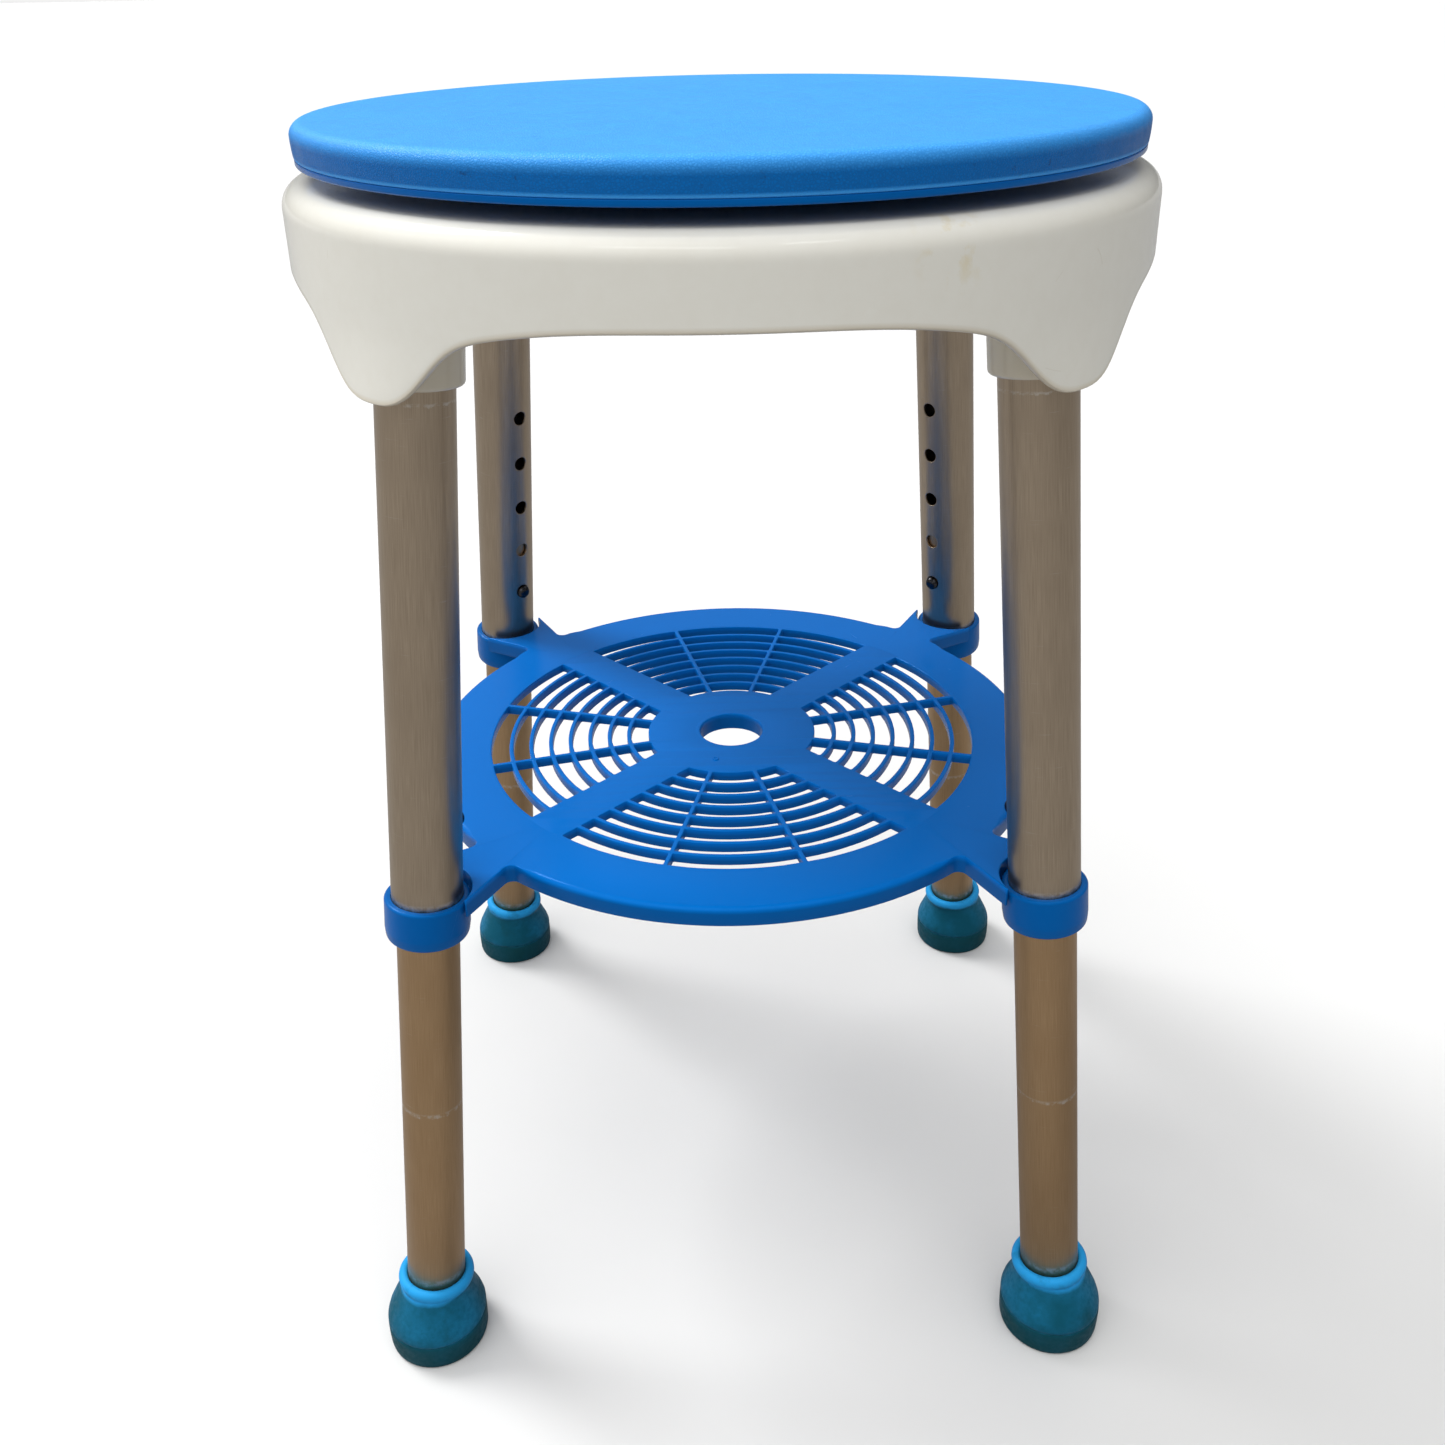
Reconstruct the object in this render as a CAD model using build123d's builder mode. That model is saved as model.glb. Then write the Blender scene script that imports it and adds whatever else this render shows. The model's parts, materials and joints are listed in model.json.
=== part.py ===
from build123d import *
import os
from math import atan2, degrees, sqrt

os.makedirs("parts", exist_ok=True)

# Shower stool: origin on the floor under the seat's centre, +Z up, millimetres.

# Seat
seat_radius = 165.0
seat_top = 518.0
pad_bottom = 505.0
pad_edge_round = 4.5
board_bottom = 502.5
board_inset = 0.8
board_hub_radius = 69.0

# Base: a round cap whose skirt drops into a lobe over each leg
base_radius = 171.0
base_top = 496.5
base_wall = 3.0
shoulder_round = 9.0
lobe_bottom = 433.5
well_radius = 72.0
well_floor = 488.0
pivot_boss_bottom = 478.0
socket_radius = 17.6
socket_bottom = 437.0

# Legs: each stands on a corner of a square and leans in towards the seat
foot_spacing_half = 141.5
lean = 0.0747
outer_tube_radius = 14.3
inner_tube_radius = 12.7
inner_tube_wall = 1.2
slide_clearance = 0.08
outer_tube_bottom = 216.5
outer_tube_top = 485.0
inner_tube_bottom = 9.0
inner_tube_top = 298.0

# Height adjustment: a sprung button in one of five holes
button_height = 261.0
hole_pitch = 25.0
hole_count = 5
button_radius = 3.5
button_flange_radius = 4.6
button_reach = 17.2
spring_thickness = 0.8
spring_width = 8.0

# Collars at the foot of each outer tube
collar_radius = 17.15
collar_bottom = 214.0
collar_top = 232.0
lug_thickness = 5.0
lug_width = 11.0
peg_radius = 3.0

# Shelf
shelf_top = 234.0
shelf_thickness = 8.3
shelf_radius = 142.0
plate_thickness = 4.6
rim_wall = 3.2
hub_boss_radius = 18.5
hub_hole_radius = 15.0
grille_inner = 40.0
grille_outer = 114.5
spoke_width = 21.0
grille_bars = 7
bar_width = 2.0
rib_angle = 14.6
arm_root_width = 18.6
arm_end_width = 30.8
arm_end_setback = 15.6
arm_gap = 1.05

# Feet
bead_radius = 16.4
bead_height = 35.5
foot_radius = 22.2
crease_height = 12.8

# Turntable bearing between the base and the seat
race_inner = 40.0
race_outer = 66.0
race_thickness = 2.6
ball_circle = 51.0
ball_radius = 3.0
ball_count = 20
ball_centre = 492.6
groove_radius = 3.3
race_screw_circle = 61.6

# Pivot bolt and screws
bolt_radius = 4.0
bolt_bore = 4.08
screw_radius = 1.9
screw_head_radius = 3.4

stretch = sqrt(1 + 2 * lean**2)

corners = {
    "front_left": (-1, -1),
    "front_right": (1, -1),
    "rear_left": (-1, 1),
    "rear_right": (1, 1),
}


def leg_plane(side_x, side_y):
    """The plane across a leg at the floor: x towards the stool's middle, z up the leg."""
    return Plane(
        origin=(side_x * foot_spacing_half, side_y * foot_spacing_half, 0),
        x_dir=(-side_x, -side_y, -2 * lean),
        z_dir=(-side_x * lean, -side_y * lean, 1),
    )


def along(height):
    """Distance up the leg's axis to a height above the floor."""
    return height * stretch


def profile_plane(leg):
    """The plane that holds the leg's axis: x towards the middle, y up the leg."""
    return Plane(origin=leg.origin, x_dir=leg.x_dir, z_dir=-leg.y_dir)


def cross_plane(leg, distance):
    """The plane through a point of the leg's axis whose normal points to the middle."""
    return Plane(origin=leg.origin + leg.z_dir * distance, x_dir=leg.z_dir, z_dir=leg.x_dir)


def leg_reach(height):
    """Distance from the stool's axis to a leg's axis at a height."""
    return sqrt(2) * (foot_spacing_half - lean * height)


def tube(leg, bottom, top, radius, bore):
    with BuildPart() as body:
        with BuildSketch(leg.offset(bottom)):
            Circle(radius)
            Circle(bore, mode=Mode.SUBTRACT)
        extrude(amount=top - bottom)
    return body


def finish(builder, name):
    builder.part.label = name
    export_step(builder.part, f"parts/{name}.step")


# Seat

with BuildPart() as seat_pad:
    with BuildSketch(Plane.XY.offset(pad_bottom)):
        Circle(seat_radius)
    extrude(amount=seat_top - pad_bottom)
    fillet(seat_pad.faces().sort_by(Axis.Z)[-1].edges(), pad_edge_round)
finish(seat_pad, "seat_pad")

upper_race_bottom = ball_centre + 1.8
upper_race_top = upper_race_bottom + race_thickness
lower_race_top = ball_centre - 1.8
head_floor = 500.0

with BuildPart() as seat_board:
    with BuildSketch(Plane.XY.offset(board_bottom)):
        Circle(seat_radius - board_inset)
    extrude(amount=pad_bottom - board_bottom)
    with BuildSketch(Plane.XY.offset(upper_race_top)):
        Circle(board_hub_radius)
    extrude(amount=board_bottom - upper_race_top)
    with BuildSketch(Plane.XY.offset(well_floor + 0.5)):
        Circle(14)
    extrude(amount=upper_race_top - well_floor - 0.5)
    with BuildSketch(Plane.XY.offset(well_floor)):
        Circle(bolt_bore)
    extrude(amount=seat_top - well_floor, mode=Mode.SUBTRACT)
    with BuildSketch(Plane.XY.offset(head_floor)):
        Circle(8)
    extrude(amount=seat_top - head_floor, mode=Mode.SUBTRACT)
    with BuildSketch(Plane.XY.offset(upper_race_top)):
        with PolarLocations(race_screw_circle, 4, start_angle=45):
            Circle(screw_radius)
    extrude(amount=5, mode=Mode.SUBTRACT)
finish(seat_board, "seat_board")

# Turntable bearing


def race(bottom, name):
    with BuildPart() as body:
        with BuildSketch(Plane.XY.offset(bottom)):
            Circle(race_outer)
            Circle(race_inner, mode=Mode.SUBTRACT)
            with PolarLocations(race_screw_circle, 4, start_angle=45):
                Circle(screw_radius + 0.2, mode=Mode.SUBTRACT)
        extrude(amount=race_thickness)
        with BuildSketch(Plane.XZ):
            with Locations((ball_circle, ball_centre)):
                Circle(groove_radius)
        revolve(axis=Axis.Z, mode=Mode.SUBTRACT)
    finish(body, name)


race(upper_race_bottom, "swivel_race_upper")
race(lower_race_top - race_thickness, "swivel_race_lower")

with BuildPart() as swivel_cage:
    with BuildSketch(Plane.XY.offset(ball_centre - 0.75)):
        Circle(ball_circle + 6)
        Circle(ball_circle - 6, mode=Mode.SUBTRACT)
        with PolarLocations(ball_circle, ball_count):
            Circle(ball_radius + 0.15, mode=Mode.SUBTRACT)
    extrude(amount=1.5)
finish(swivel_cage, "swivel_cage")

with BuildPart() as swivel_balls:
    with Locations((0, 0, ball_centre)):
        with PolarLocations(ball_circle, ball_count):
            Sphere(ball_radius)
finish(swivel_balls, "swivel_balls")


def race_screws(head_bottom, direction, length, name):
    """Four pan-head screws; direction is +1 when the shanks point up."""
    with BuildPart() as body:
        with BuildSketch(Plane.XY.offset(head_bottom)):
            with PolarLocations(race_screw_circle, 4, start_angle=45):
                Circle(screw_head_radius)
        extrude(amount=-direction * 1.2)
        with BuildSketch(Plane.XY.offset(head_bottom)):
            with PolarLocations(race_screw_circle, 4, start_angle=45):
                Circle(screw_radius)
        extrude(amount=direction * length)
    finish(body, name)


race_screws(upper_race_bottom, 1, race_thickness + 4.5, "seat_race_screws")
race_screws(lower_race_top, -1, race_thickness + 6.0, "base_race_screws")

# Base

# Half width of the opening between two lobes, and its height, from the top down
scallop = [(0, 466.3), (45, 466.0), (61, 464.8), (79, 460.4), (88.5, 456.0), (96, 450.5), (101.5, 443.5)]
lobe_corner = [(105.0, 437.5), (110.0, 433.0)]
arch_half_width = 110.0
arch_foot = 400.0
right_edge = scallop + lobe_corner
left_edge = [(-u, z) for u, z in reversed(right_edge[1:])]

with BuildPart() as seat_base:
    with BuildSketch(Plane.XZ):
        with BuildLine():
            Polyline(
                (0, base_top),
                (0, base_top - base_wall),
                (base_radius - base_wall - 2, base_top - base_wall),
                (base_radius - base_wall, base_top - base_wall - 8),
                (base_radius - base_wall, lobe_bottom),
                (base_radius, lobe_bottom),
                (base_radius, base_top - shoulder_round),
            )
            RadiusArc(
                (base_radius, base_top - shoulder_round),
                (base_radius - shoulder_round, base_top),
                -shoulder_round,
            )
            Line((base_radius - shoulder_round, base_top), (0, base_top))
        make_face()
    revolve(axis=Axis.Z)
    # The arches under the skirt, between the lobes, each cut through both walls
    for side_view in (Plane.XZ, Plane.YZ):
        with BuildSketch(side_view):
            with BuildLine():
                arch = Spline(*(left_edge + right_edge))
                Polyline(arch @ 1, (arch_half_width, arch_foot), (-arch_half_width, arch_foot), arch @ 0)
            make_face()
        extrude(amount=base_radius + 20, both=True, mode=Mode.SUBTRACT)
    for side_x, side_y in corners.values():
        leg = leg_plane(side_x, side_y)
        with BuildSketch(leg.offset(along(socket_bottom))):
            Circle(socket_radius)
        extrude(amount=along(base_top - 2) - along(socket_bottom))
    # Ribs from the pivot boss to the sockets
    with BuildSketch(Plane.XY.offset(pivot_boss_bottom)):
        Circle(16)
        for angle in (45, 135):
            Rectangle(2 * leg_reach(base_top) - 20, 3, rotation=angle)
    extrude(amount=base_top - base_wall - pivot_boss_bottom)
    with BuildSketch(Plane.XY.offset(well_floor - base_wall)):
        Circle(well_radius + base_wall)
    extrude(amount=base_top - well_floor + base_wall)
    with BuildSketch(Plane.XY.offset(well_floor)):
        Circle(well_radius)
    extrude(amount=20, mode=Mode.SUBTRACT)
    # Trim what stands proud of the shoulder
    with BuildSketch(Plane.XZ):
        with BuildLine():
            shoulder = RadiusArc(
                (base_radius, base_top - shoulder_round),
                (base_radius - shoulder_round, base_top),
                -shoulder_round,
            )
            Polyline(
                shoulder @ 1,
                (0, base_top),
                (0, base_top + 20),
                (base_radius + 20, base_top + 20),
                (base_radius + 20, base_top - shoulder_round),
                shoulder @ 0,
            )
        make_face()
    revolve(axis=Axis.Z, mode=Mode.SUBTRACT)
    with BuildSketch(Plane.XY.offset(pivot_boss_bottom)):
        Circle(bolt_radius + 0.05)
    extrude(amount=40, mode=Mode.SUBTRACT)
    with BuildSketch(Plane.XY.offset(pivot_boss_bottom)):
        with PolarLocations(race_screw_circle, 4, start_angle=45):
            Circle(screw_radius)
    extrude(amount=40, mode=Mode.SUBTRACT)
    for side_x, side_y in corners.values():
        leg = leg_plane(side_x, side_y)
        with BuildSketch(leg.offset(along(420))):
            Circle(outer_tube_radius + 0.05)
        extrude(amount=along(outer_tube_top) - along(420), mode=Mode.SUBTRACT)
        with BuildSketch(cross_plane(leg, along(470))):
            Circle(screw_radius + 0.05)
        extrude(amount=60, mode=Mode.SUBTRACT)
finish(seat_base, "seat_base")

# Pivot bolt

nut_top = pivot_boss_bottom - 1.6

with BuildPart() as pivot_bolt:
    with BuildSketch(Plane.XY.offset(head_floor + 0.2)):
        Circle(7)
    extrude(amount=4.2)
    with BuildSketch(Plane.XY.offset(head_floor + 0.2)):
        Circle(bolt_radius)
    extrude(amount=-(head_floor + 0.2 - nut_top + 9))
    with BuildSketch(Plane.XY.offset(head_floor + 4.4)):
        RegularPolygon(2.9, 6)
    extrude(amount=-2.4, mode=Mode.SUBTRACT)
finish(pivot_bolt, "pivot_bolt")

with BuildPart() as pivot_washer:
    with BuildSketch(Plane.XY.offset(nut_top)):
        Circle(10)
        Circle(bolt_radius + 0.2, mode=Mode.SUBTRACT)
    extrude(amount=pivot_boss_bottom - nut_top)
finish(pivot_washer, "pivot_washer")

with BuildPart() as pivot_nut:
    with BuildSketch(Plane.XY.offset(nut_top)):
        RegularPolygon(7.5, 6)
        Circle(bolt_radius, mode=Mode.SUBTRACT)
    extrude(amount=-7)
finish(pivot_nut, "pivot_nut")

# Shelf

shelf_bottom = shelf_top - shelf_thickness
shelf_edge_round = 2.8
bar_pitch = (grille_outer - grille_inner) / (grille_bars + 1)
arm_end = leg_reach(shelf_top) - arm_end_setback
arm_length = arm_end - shelf_radius + 3
flare_angle = degrees(atan2(arm_length, (arm_end_width - arm_root_width) / 2))

with BuildPart() as shelf:
    with BuildSketch(Plane.XY.offset(shelf_bottom)):
        Circle(shelf_radius)
        with PolarLocations(arm_end, 4, start_angle=45):
            Trapezoid(arm_end_width, arm_length, flare_angle, rotation=90, align=(Align.CENTER, Align.MIN))
    extrude(amount=shelf_thickness)
    top_rim = shelf.faces().sort_by(Axis.Z)[-1].outer_wire().edges()
    fillet(top_rim.filter_by(GeomType.CIRCLE), shelf_edge_round)
    # Arm ends, hollowed around the collars
    for side_x, side_y in corners.values():
        leg = leg_plane(side_x, side_y)
        with BuildSketch(leg.offset(along(200))):
            Circle(collar_radius + arm_gap)
        extrude(amount=70, mode=Mode.SUBTRACT)
    # Underside hollowed, which leaves a plate with a deeper rim and a boss around the hub hole
    with BuildSketch(Plane.XY.offset(shelf_bottom)):
        Circle(shelf_radius - rim_wall)
        Circle(hub_boss_radius, mode=Mode.SUBTRACT)
    extrude(amount=shelf_thickness - plate_thickness, mode=Mode.SUBTRACT)
    # Four sector openings, then the bars and ribs that cross them
    with BuildSketch(Plane.XY.offset(shelf_bottom)):
        Circle(grille_outer)
        Circle(grille_inner, mode=Mode.SUBTRACT)
        for angle in (45, 135):
            Rectangle(2 * grille_outer, spoke_width, rotation=angle, mode=Mode.SUBTRACT)
        for i in range(1, grille_bars + 1):
            bar_radius = grille_inner + i * bar_pitch
            with BuildSketch(mode=Mode.SUBTRACT):
                Circle(bar_radius + bar_width / 2)
                Circle(bar_radius - bar_width / 2, mode=Mode.SUBTRACT)
        for quarter in range(4):
            for offset_angle in (-rib_angle, rib_angle):
                Rectangle(
                    grille_outer + 5,
                    bar_width,
                    rotation=90 * quarter + offset_angle,
                    align=(Align.MIN, Align.CENTER),
                    mode=Mode.SUBTRACT,
                )
        Circle(hub_hole_radius)
    extrude(amount=shelf_thickness, mode=Mode.SUBTRACT)
    # Blind sockets under the arm ends for the collars' pegs
    with BuildSketch(Plane.XY.offset(shelf_bottom)):
        with PolarLocations(leg_reach(shelf_bottom) - collar_radius - 7, 4, start_angle=45):
            Circle(peg_radius + 0.4)
    extrude(amount=5.2, mode=Mode.SUBTRACT)
finish(shelf, "shelf")

# Legs

for corner, (side_x, side_y) in corners.items():
    leg = leg_plane(side_x, side_y)
    profile = profile_plane(leg)
    leg_axis = Axis(leg.origin, leg.z_dir)
    outer_bore = inner_tube_radius + slide_clearance
    button_distance = along(button_height)

    # Outer tube with its row of adjustment holes on the inner side
    with BuildPart() as upper_leg:
        add(tube(leg, along(outer_tube_bottom), along(outer_tube_top), outer_tube_radius, outer_bore))
        for i in range(hole_count):
            with BuildSketch(cross_plane(leg, button_distance + i * hole_pitch)):
                Circle(button_radius + slide_clearance)
            extrude(amount=20, mode=Mode.SUBTRACT)
        with BuildSketch(cross_plane(leg, along(470))):
            Circle(screw_radius + 0.05)
        extrude(amount=20, mode=Mode.SUBTRACT)
    finish(upper_leg, f"upper_leg_{corner}")

    # Collar: closes the outer tube's lower end and carries the shelf on a lug and peg
    lug_start = leg_reach(shelf_bottom)
    with BuildPart() as leg_collar:
        with BuildSketch(profile):
            with BuildLine():
                Polyline(
                    (outer_bore, along(collar_bottom)),
                    (collar_radius - 1.8, along(collar_bottom)),
                    (collar_radius, along(collar_bottom) + 4),
                    (collar_radius, along(collar_top) - 1.2),
                    (collar_radius - 1.2, along(collar_top)),
                    (outer_tube_radius + 0.05, along(collar_top)),
                    (outer_tube_radius + 0.05, along(outer_tube_bottom)),
                    (outer_bore, along(outer_tube_bottom)),
                    close=True,
                )
            make_face()
        revolve(axis=leg_axis)
        diagonal = Plane(origin=(0, 0, 0), x_dir=(side_x, side_y, 0), z_dir=(0, 0, 1))
        with BuildSketch(diagonal.offset(shelf_bottom - 0.1 - lug_thickness)):
            with Locations((lug_start - outer_tube_radius - 1, 0)):
                Rectangle(15, lug_width, align=(Align.MAX, Align.CENTER))
        extrude(amount=lug_thickness)
        with BuildSketch(diagonal.offset(shelf_bottom - 0.1)):
            with Locations((lug_start - collar_radius - 7, 0)):
                Circle(peg_radius)
        extrude(amount=4.2)
        with BuildSketch(leg.offset(along(outer_tube_bottom))):
            Circle(outer_tube_radius + 0.05)
        extrude(amount=40, mode=Mode.SUBTRACT)
    finish(leg_collar, f"leg_collar_{corner}")

    # Inner tube with the button's hole
    inner_bore = inner_tube_radius - inner_tube_wall
    with BuildPart() as lower_leg:
        add(tube(leg, along(inner_tube_bottom), along(inner_tube_top), inner_tube_radius, inner_bore))
        with BuildSketch(cross_plane(leg, button_distance)):
            Circle(button_radius + slide_clearance)
        extrude(amount=20, mode=Mode.SUBTRACT)
    finish(lower_leg, f"lower_leg_{corner}")

    # Snap button: a domed pin with a flange that stops it inside the inner tube
    flange_back = 9.3
    flange_front = 10.2
    with BuildPart() as snap_button:
        across = cross_plane(leg, button_distance)
        with BuildSketch(across.offset(flange_back)):
            Circle(button_flange_radius)
        extrude(amount=flange_front - flange_back)
        with BuildSketch(across.offset(flange_front)):
            Circle(button_radius)
        extrude(amount=button_reach - flange_front)
        outer_face = snap_button.faces().sort_by(Axis(leg.origin, leg.x_dir))[-1]
        fillet(outer_face.edges(), 2.4)
    finish(snap_button, f"snap_button_{corner}")

    # V spring: one arm behind the button, the other against the far wall
    button_arm = flange_back - 0.05 - spring_thickness / 2
    far_arm = -(inner_bore - 1.0)
    with BuildPart() as button_spring:
        with BuildSketch(profile):
            with BuildLine():
                FilletPolyline(
                    (button_arm, button_distance + 6),
                    (button_arm, button_distance - 6),
                    (0.0, button_distance - 42),
                    (far_arm, button_distance - 4),
                    radius=2.5,
                )
            trace(line_width=spring_thickness)
        extrude(amount=spring_width / 2, both=True)
    finish(button_spring, f"button_spring_{corner}")

    # Rubber foot: an upright sole with a bell above it that follows the leg
    bell_start = along(crease_height)
    bead_centre = along(bead_height) - 1.6
    sole_centre = Plane(leg.origin - Vector(side_x * lean, side_y * lean, 0) * crease_height)
    with BuildPart() as rubber_foot:
        with BuildSketch(sole_centre):
            Circle(foot_radius)
        extrude(amount=crease_height)
        fillet(rubber_foot.faces().sort_by(Axis.Z)[-1].edges(), 1.2)
        with BuildSketch(profile):
            with BuildLine():
                Polyline(
                    (0, bell_start - 4),
                    (foot_radius - 2.6, bell_start - 4),
                    (foot_radius - 2.6, bell_start - 1),
                )
                Spline(
                    (foot_radius - 2.6, bell_start - 1),
                    (bead_radius + 0.8, bell_start + 9),
                    (bead_radius - 0.9, bead_centre - 1.8),
                )
                Polyline(
                    (bead_radius - 0.9, bead_centre - 1.8),
                    (bead_radius, bead_centre - 1.0),
                    (bead_radius, bead_centre + 1.0),
                    (bead_radius - 0.8, bead_centre + 1.6),
                    (0, bead_centre + 1.6),
                    (0, bell_start - 4),
                )
            make_face()
        revolve(axis=leg_axis)
        with BuildSketch(leg.offset(along(inner_tube_bottom) - 1.5)):
            Circle(inner_tube_radius)
        extrude(amount=60, mode=Mode.SUBTRACT)
    finish(rubber_foot, f"rubber_foot_{corner}")

    # Steel washer that keeps the tube from cutting through the foot
    finish(
        tube(leg, along(inner_tube_bottom) - 1.5, along(inner_tube_bottom), inner_tube_radius - 0.1, 4.0),
        f"foot_washer_{corner}",
    )

# Leg screws

with BuildPart() as leg_screws:
    for side_x, side_y in corners.values():
        leg = leg_plane(side_x, side_y)
        across = cross_plane(leg, along(470))
        with BuildSketch(across.offset(socket_radius)):
            Circle(screw_head_radius)
        extrude(amount=1.8)
        with BuildSketch(across.offset(socket_radius)):
            Circle(screw_radius)
        extrude(amount=-(socket_radius - inner_tube_radius + 2))
finish(leg_screws, "leg_screws")
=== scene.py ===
import json
import math
import bmesh
import bpy
import numpy as np
from mathutils import Matrix, Vector


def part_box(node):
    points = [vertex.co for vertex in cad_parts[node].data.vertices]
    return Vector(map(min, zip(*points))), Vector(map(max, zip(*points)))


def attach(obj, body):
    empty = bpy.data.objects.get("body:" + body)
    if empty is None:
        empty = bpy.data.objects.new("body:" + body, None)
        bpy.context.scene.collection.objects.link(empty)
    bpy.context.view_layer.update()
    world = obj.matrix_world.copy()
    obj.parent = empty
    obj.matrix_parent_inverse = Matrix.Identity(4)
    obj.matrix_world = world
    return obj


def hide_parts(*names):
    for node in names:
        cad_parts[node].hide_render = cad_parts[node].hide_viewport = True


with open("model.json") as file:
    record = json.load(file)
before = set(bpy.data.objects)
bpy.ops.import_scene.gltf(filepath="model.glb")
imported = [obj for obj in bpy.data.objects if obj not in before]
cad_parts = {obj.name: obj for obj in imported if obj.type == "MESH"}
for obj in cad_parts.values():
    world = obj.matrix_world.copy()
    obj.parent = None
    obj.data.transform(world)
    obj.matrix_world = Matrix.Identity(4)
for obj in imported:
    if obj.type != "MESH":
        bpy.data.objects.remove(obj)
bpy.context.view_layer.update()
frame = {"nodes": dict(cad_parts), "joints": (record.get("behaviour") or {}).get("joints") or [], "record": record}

mm = 0.001
nodes = frame["nodes"]
corners = {"front_left": (-1, -1), "front_right": (1, -1), "rear_left": (-1, 1), "rear_right": (1, 1)}
jointAxis = {joint["name"]: Vector(joint["axis"]) for joint in frame["joints"]}
print("frame loaded:", len(nodes), "nodes")


# Mesh helpers

def gridFaces(rows, columns, wrapRows, wrapColumns, start):
    # quads of a rows by columns grid of points, numbered from start
    i, j = np.meshgrid(np.arange(rows if wrapRows else rows - 1),
                       np.arange(columns if wrapColumns else columns - 1), indexing="ij")
    nextI, nextJ = (i + 1) % rows, (j + 1) % columns
    quads = np.stack([i * columns + j, nextI * columns + j, nextI * columns + nextJ, i * columns + nextJ],
                     axis=-1)
    return quads.reshape(-1, 4) + start


def grid(points, wrapRows=False, wrapColumns=False, uv=None):
    # one patch: its points in rows and columns, whether each closes on itself, and its own flat coordinates
    return {"points": points, "wrap": (wrapRows, wrapColumns), "uv": uv}


def patchMesh(name, patches):
    # joins patches into one mesh, each keeping its own flat coordinates
    points, faces, flat, start = [], [], [], 0
    for patch in patches:
        rows, columns = patch["points"].shape[:2]
        points.append(patch["points"].reshape(-1, 3))
        faces.append(gridFaces(rows, columns, *patch["wrap"], start))
        uv = patch["uv"]
        flat.append(np.zeros((rows * columns, 2)) if uv is None else uv.reshape(-1, 2))
        start += rows * columns
    points, faces, flat = np.concatenate(points), np.concatenate(faces), np.concatenate(flat)
    mesh = bpy.data.meshes.new(name)
    mesh.from_pydata(points.tolist(), [], faces.tolist())
    layer = mesh.uv_layers.new(name="Surface")
    corner = np.empty(len(mesh.loops), dtype=np.int64)
    mesh.loops.foreach_get("vertex_index", corner)
    layer.data.foreach_set("uv", flat[corner].ravel())
    return mesh


def makePiece(name, patches, material, body, replaced=(), sharpAngle=35, weld=0.002 * mm):
    return finishPiece(name, [patchMesh(name, patches)], material, body, replaced, sharpAngle, weld)


def finishPiece(name, meshes, material, body, replaced, sharpAngle, weld):
    # welds the seams of one or more closed meshes, turns their normals outwards and sets the piece in place
    mesh = meshes[0]
    work = bmesh.new()
    for part in meshes:
        work.from_mesh(part)
    bmesh.ops.remove_doubles(work, verts=work.verts, dist=weld)
    bmesh.ops.dissolve_degenerate(work, edges=work.edges, dist=weld)
    bmesh.ops.recalc_face_normals(work, faces=work.faces)
    for face in work.faces:
        face.smooth = True
    work.to_mesh(mesh)
    work.free()
    mesh.set_sharp_from_angle(angle=math.radians(sharpAngle))
    piece = bpy.data.objects.new(name, mesh)
    bpy.context.scene.collection.objects.link(piece)
    mesh.materials.append(material)
    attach(piece, body)
    if replaced:
        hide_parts(*replaced)
    return piece


def roundCorners(outline, radii, steps=4):
    # rounds each corner of an outline: an exact arc is the rational curve through the two tangent
    # points and the corner, weighted by the cosine of half the turn. Outlines may come stacked in rows.
    outline = np.asarray(outline, float)
    parts = []
    t = np.linspace(0, 1, steps + 1)[:, None]
    for i, radius in enumerate(radii):
        here = outline[..., i, :]
        if radius <= 0:
            parts.append(here[..., None, :])
            continue
        before = here - outline[..., i - 1, :]
        after = outline[..., (i + 1) % len(radii), :] - here
        before = before / np.linalg.norm(before, axis=-1, keepdims=True)
        after = after / np.linalg.norm(after, axis=-1, keepdims=True)
        cosTurn = np.clip((before * after).sum(-1, keepdims=True), -1, 1)
        halfCos = np.sqrt((1 + cosTurn) / 2)
        reach = radius * np.sqrt((1 - cosTurn) / (1 + cosTurn + 1e-9))
        first, last = (here - before * reach)[..., None, :], (here + after * reach)[..., None, :]
        weight = halfCos[..., None, :]
        middle = here[..., None, :]
        top = (1 - t) ** 2 * first + 2 * t * (1 - t) * weight * middle + t ** 2 * last
        parts.append(top / ((1 - t) ** 2 + 2 * t * (1 - t) * weight + t ** 2))
    return np.concatenate(parts, axis=-2)


def revolve(profile, centre=(0, 0, 0), basis=None, segments=96):
    # turns a profile of (radius, height) about the third column of basis; columns run around
    angle = np.linspace(0, 2 * np.pi, segments, endpoint=False)
    basis = np.eye(3) if basis is None else basis
    around = np.cos(angle)[:, None] * basis[:, 0] + np.sin(angle)[:, None] * basis[:, 1]
    profile = np.asarray(profile, float)
    return (np.asarray(centre) + profile[:, 0, None, None] * around[None]
            + profile[:, 1, None, None] * basis[:, 2])


# Where the legs stand, read from the frame

def legFrame(corner):
    # the leg's axis runs through the middle of its straight tube; x faces the stool's middle
    low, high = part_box(f"lower_leg_{corner}")
    up = jointAxis[f"leg_slide_{corner}"].normalized()
    sideX, sideY = corners[corner]
    inward = Vector((-sideX, -sideY, 0))
    inward = (inward - up * inward.dot(up)).normalized()
    middle = (low + high) / 2
    floor = middle - up * (middle.z / up.z)
    return {"floor": np.array(floor), "up": up, "basis": np.array([inward, up.cross(inward), up]).T}


legs = {corner: legFrame(corner) for corner in corners}
stretch = 1 / jointAxis["leg_slide_front_left"].normalized().z  # length up a leg for each unit of height


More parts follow.
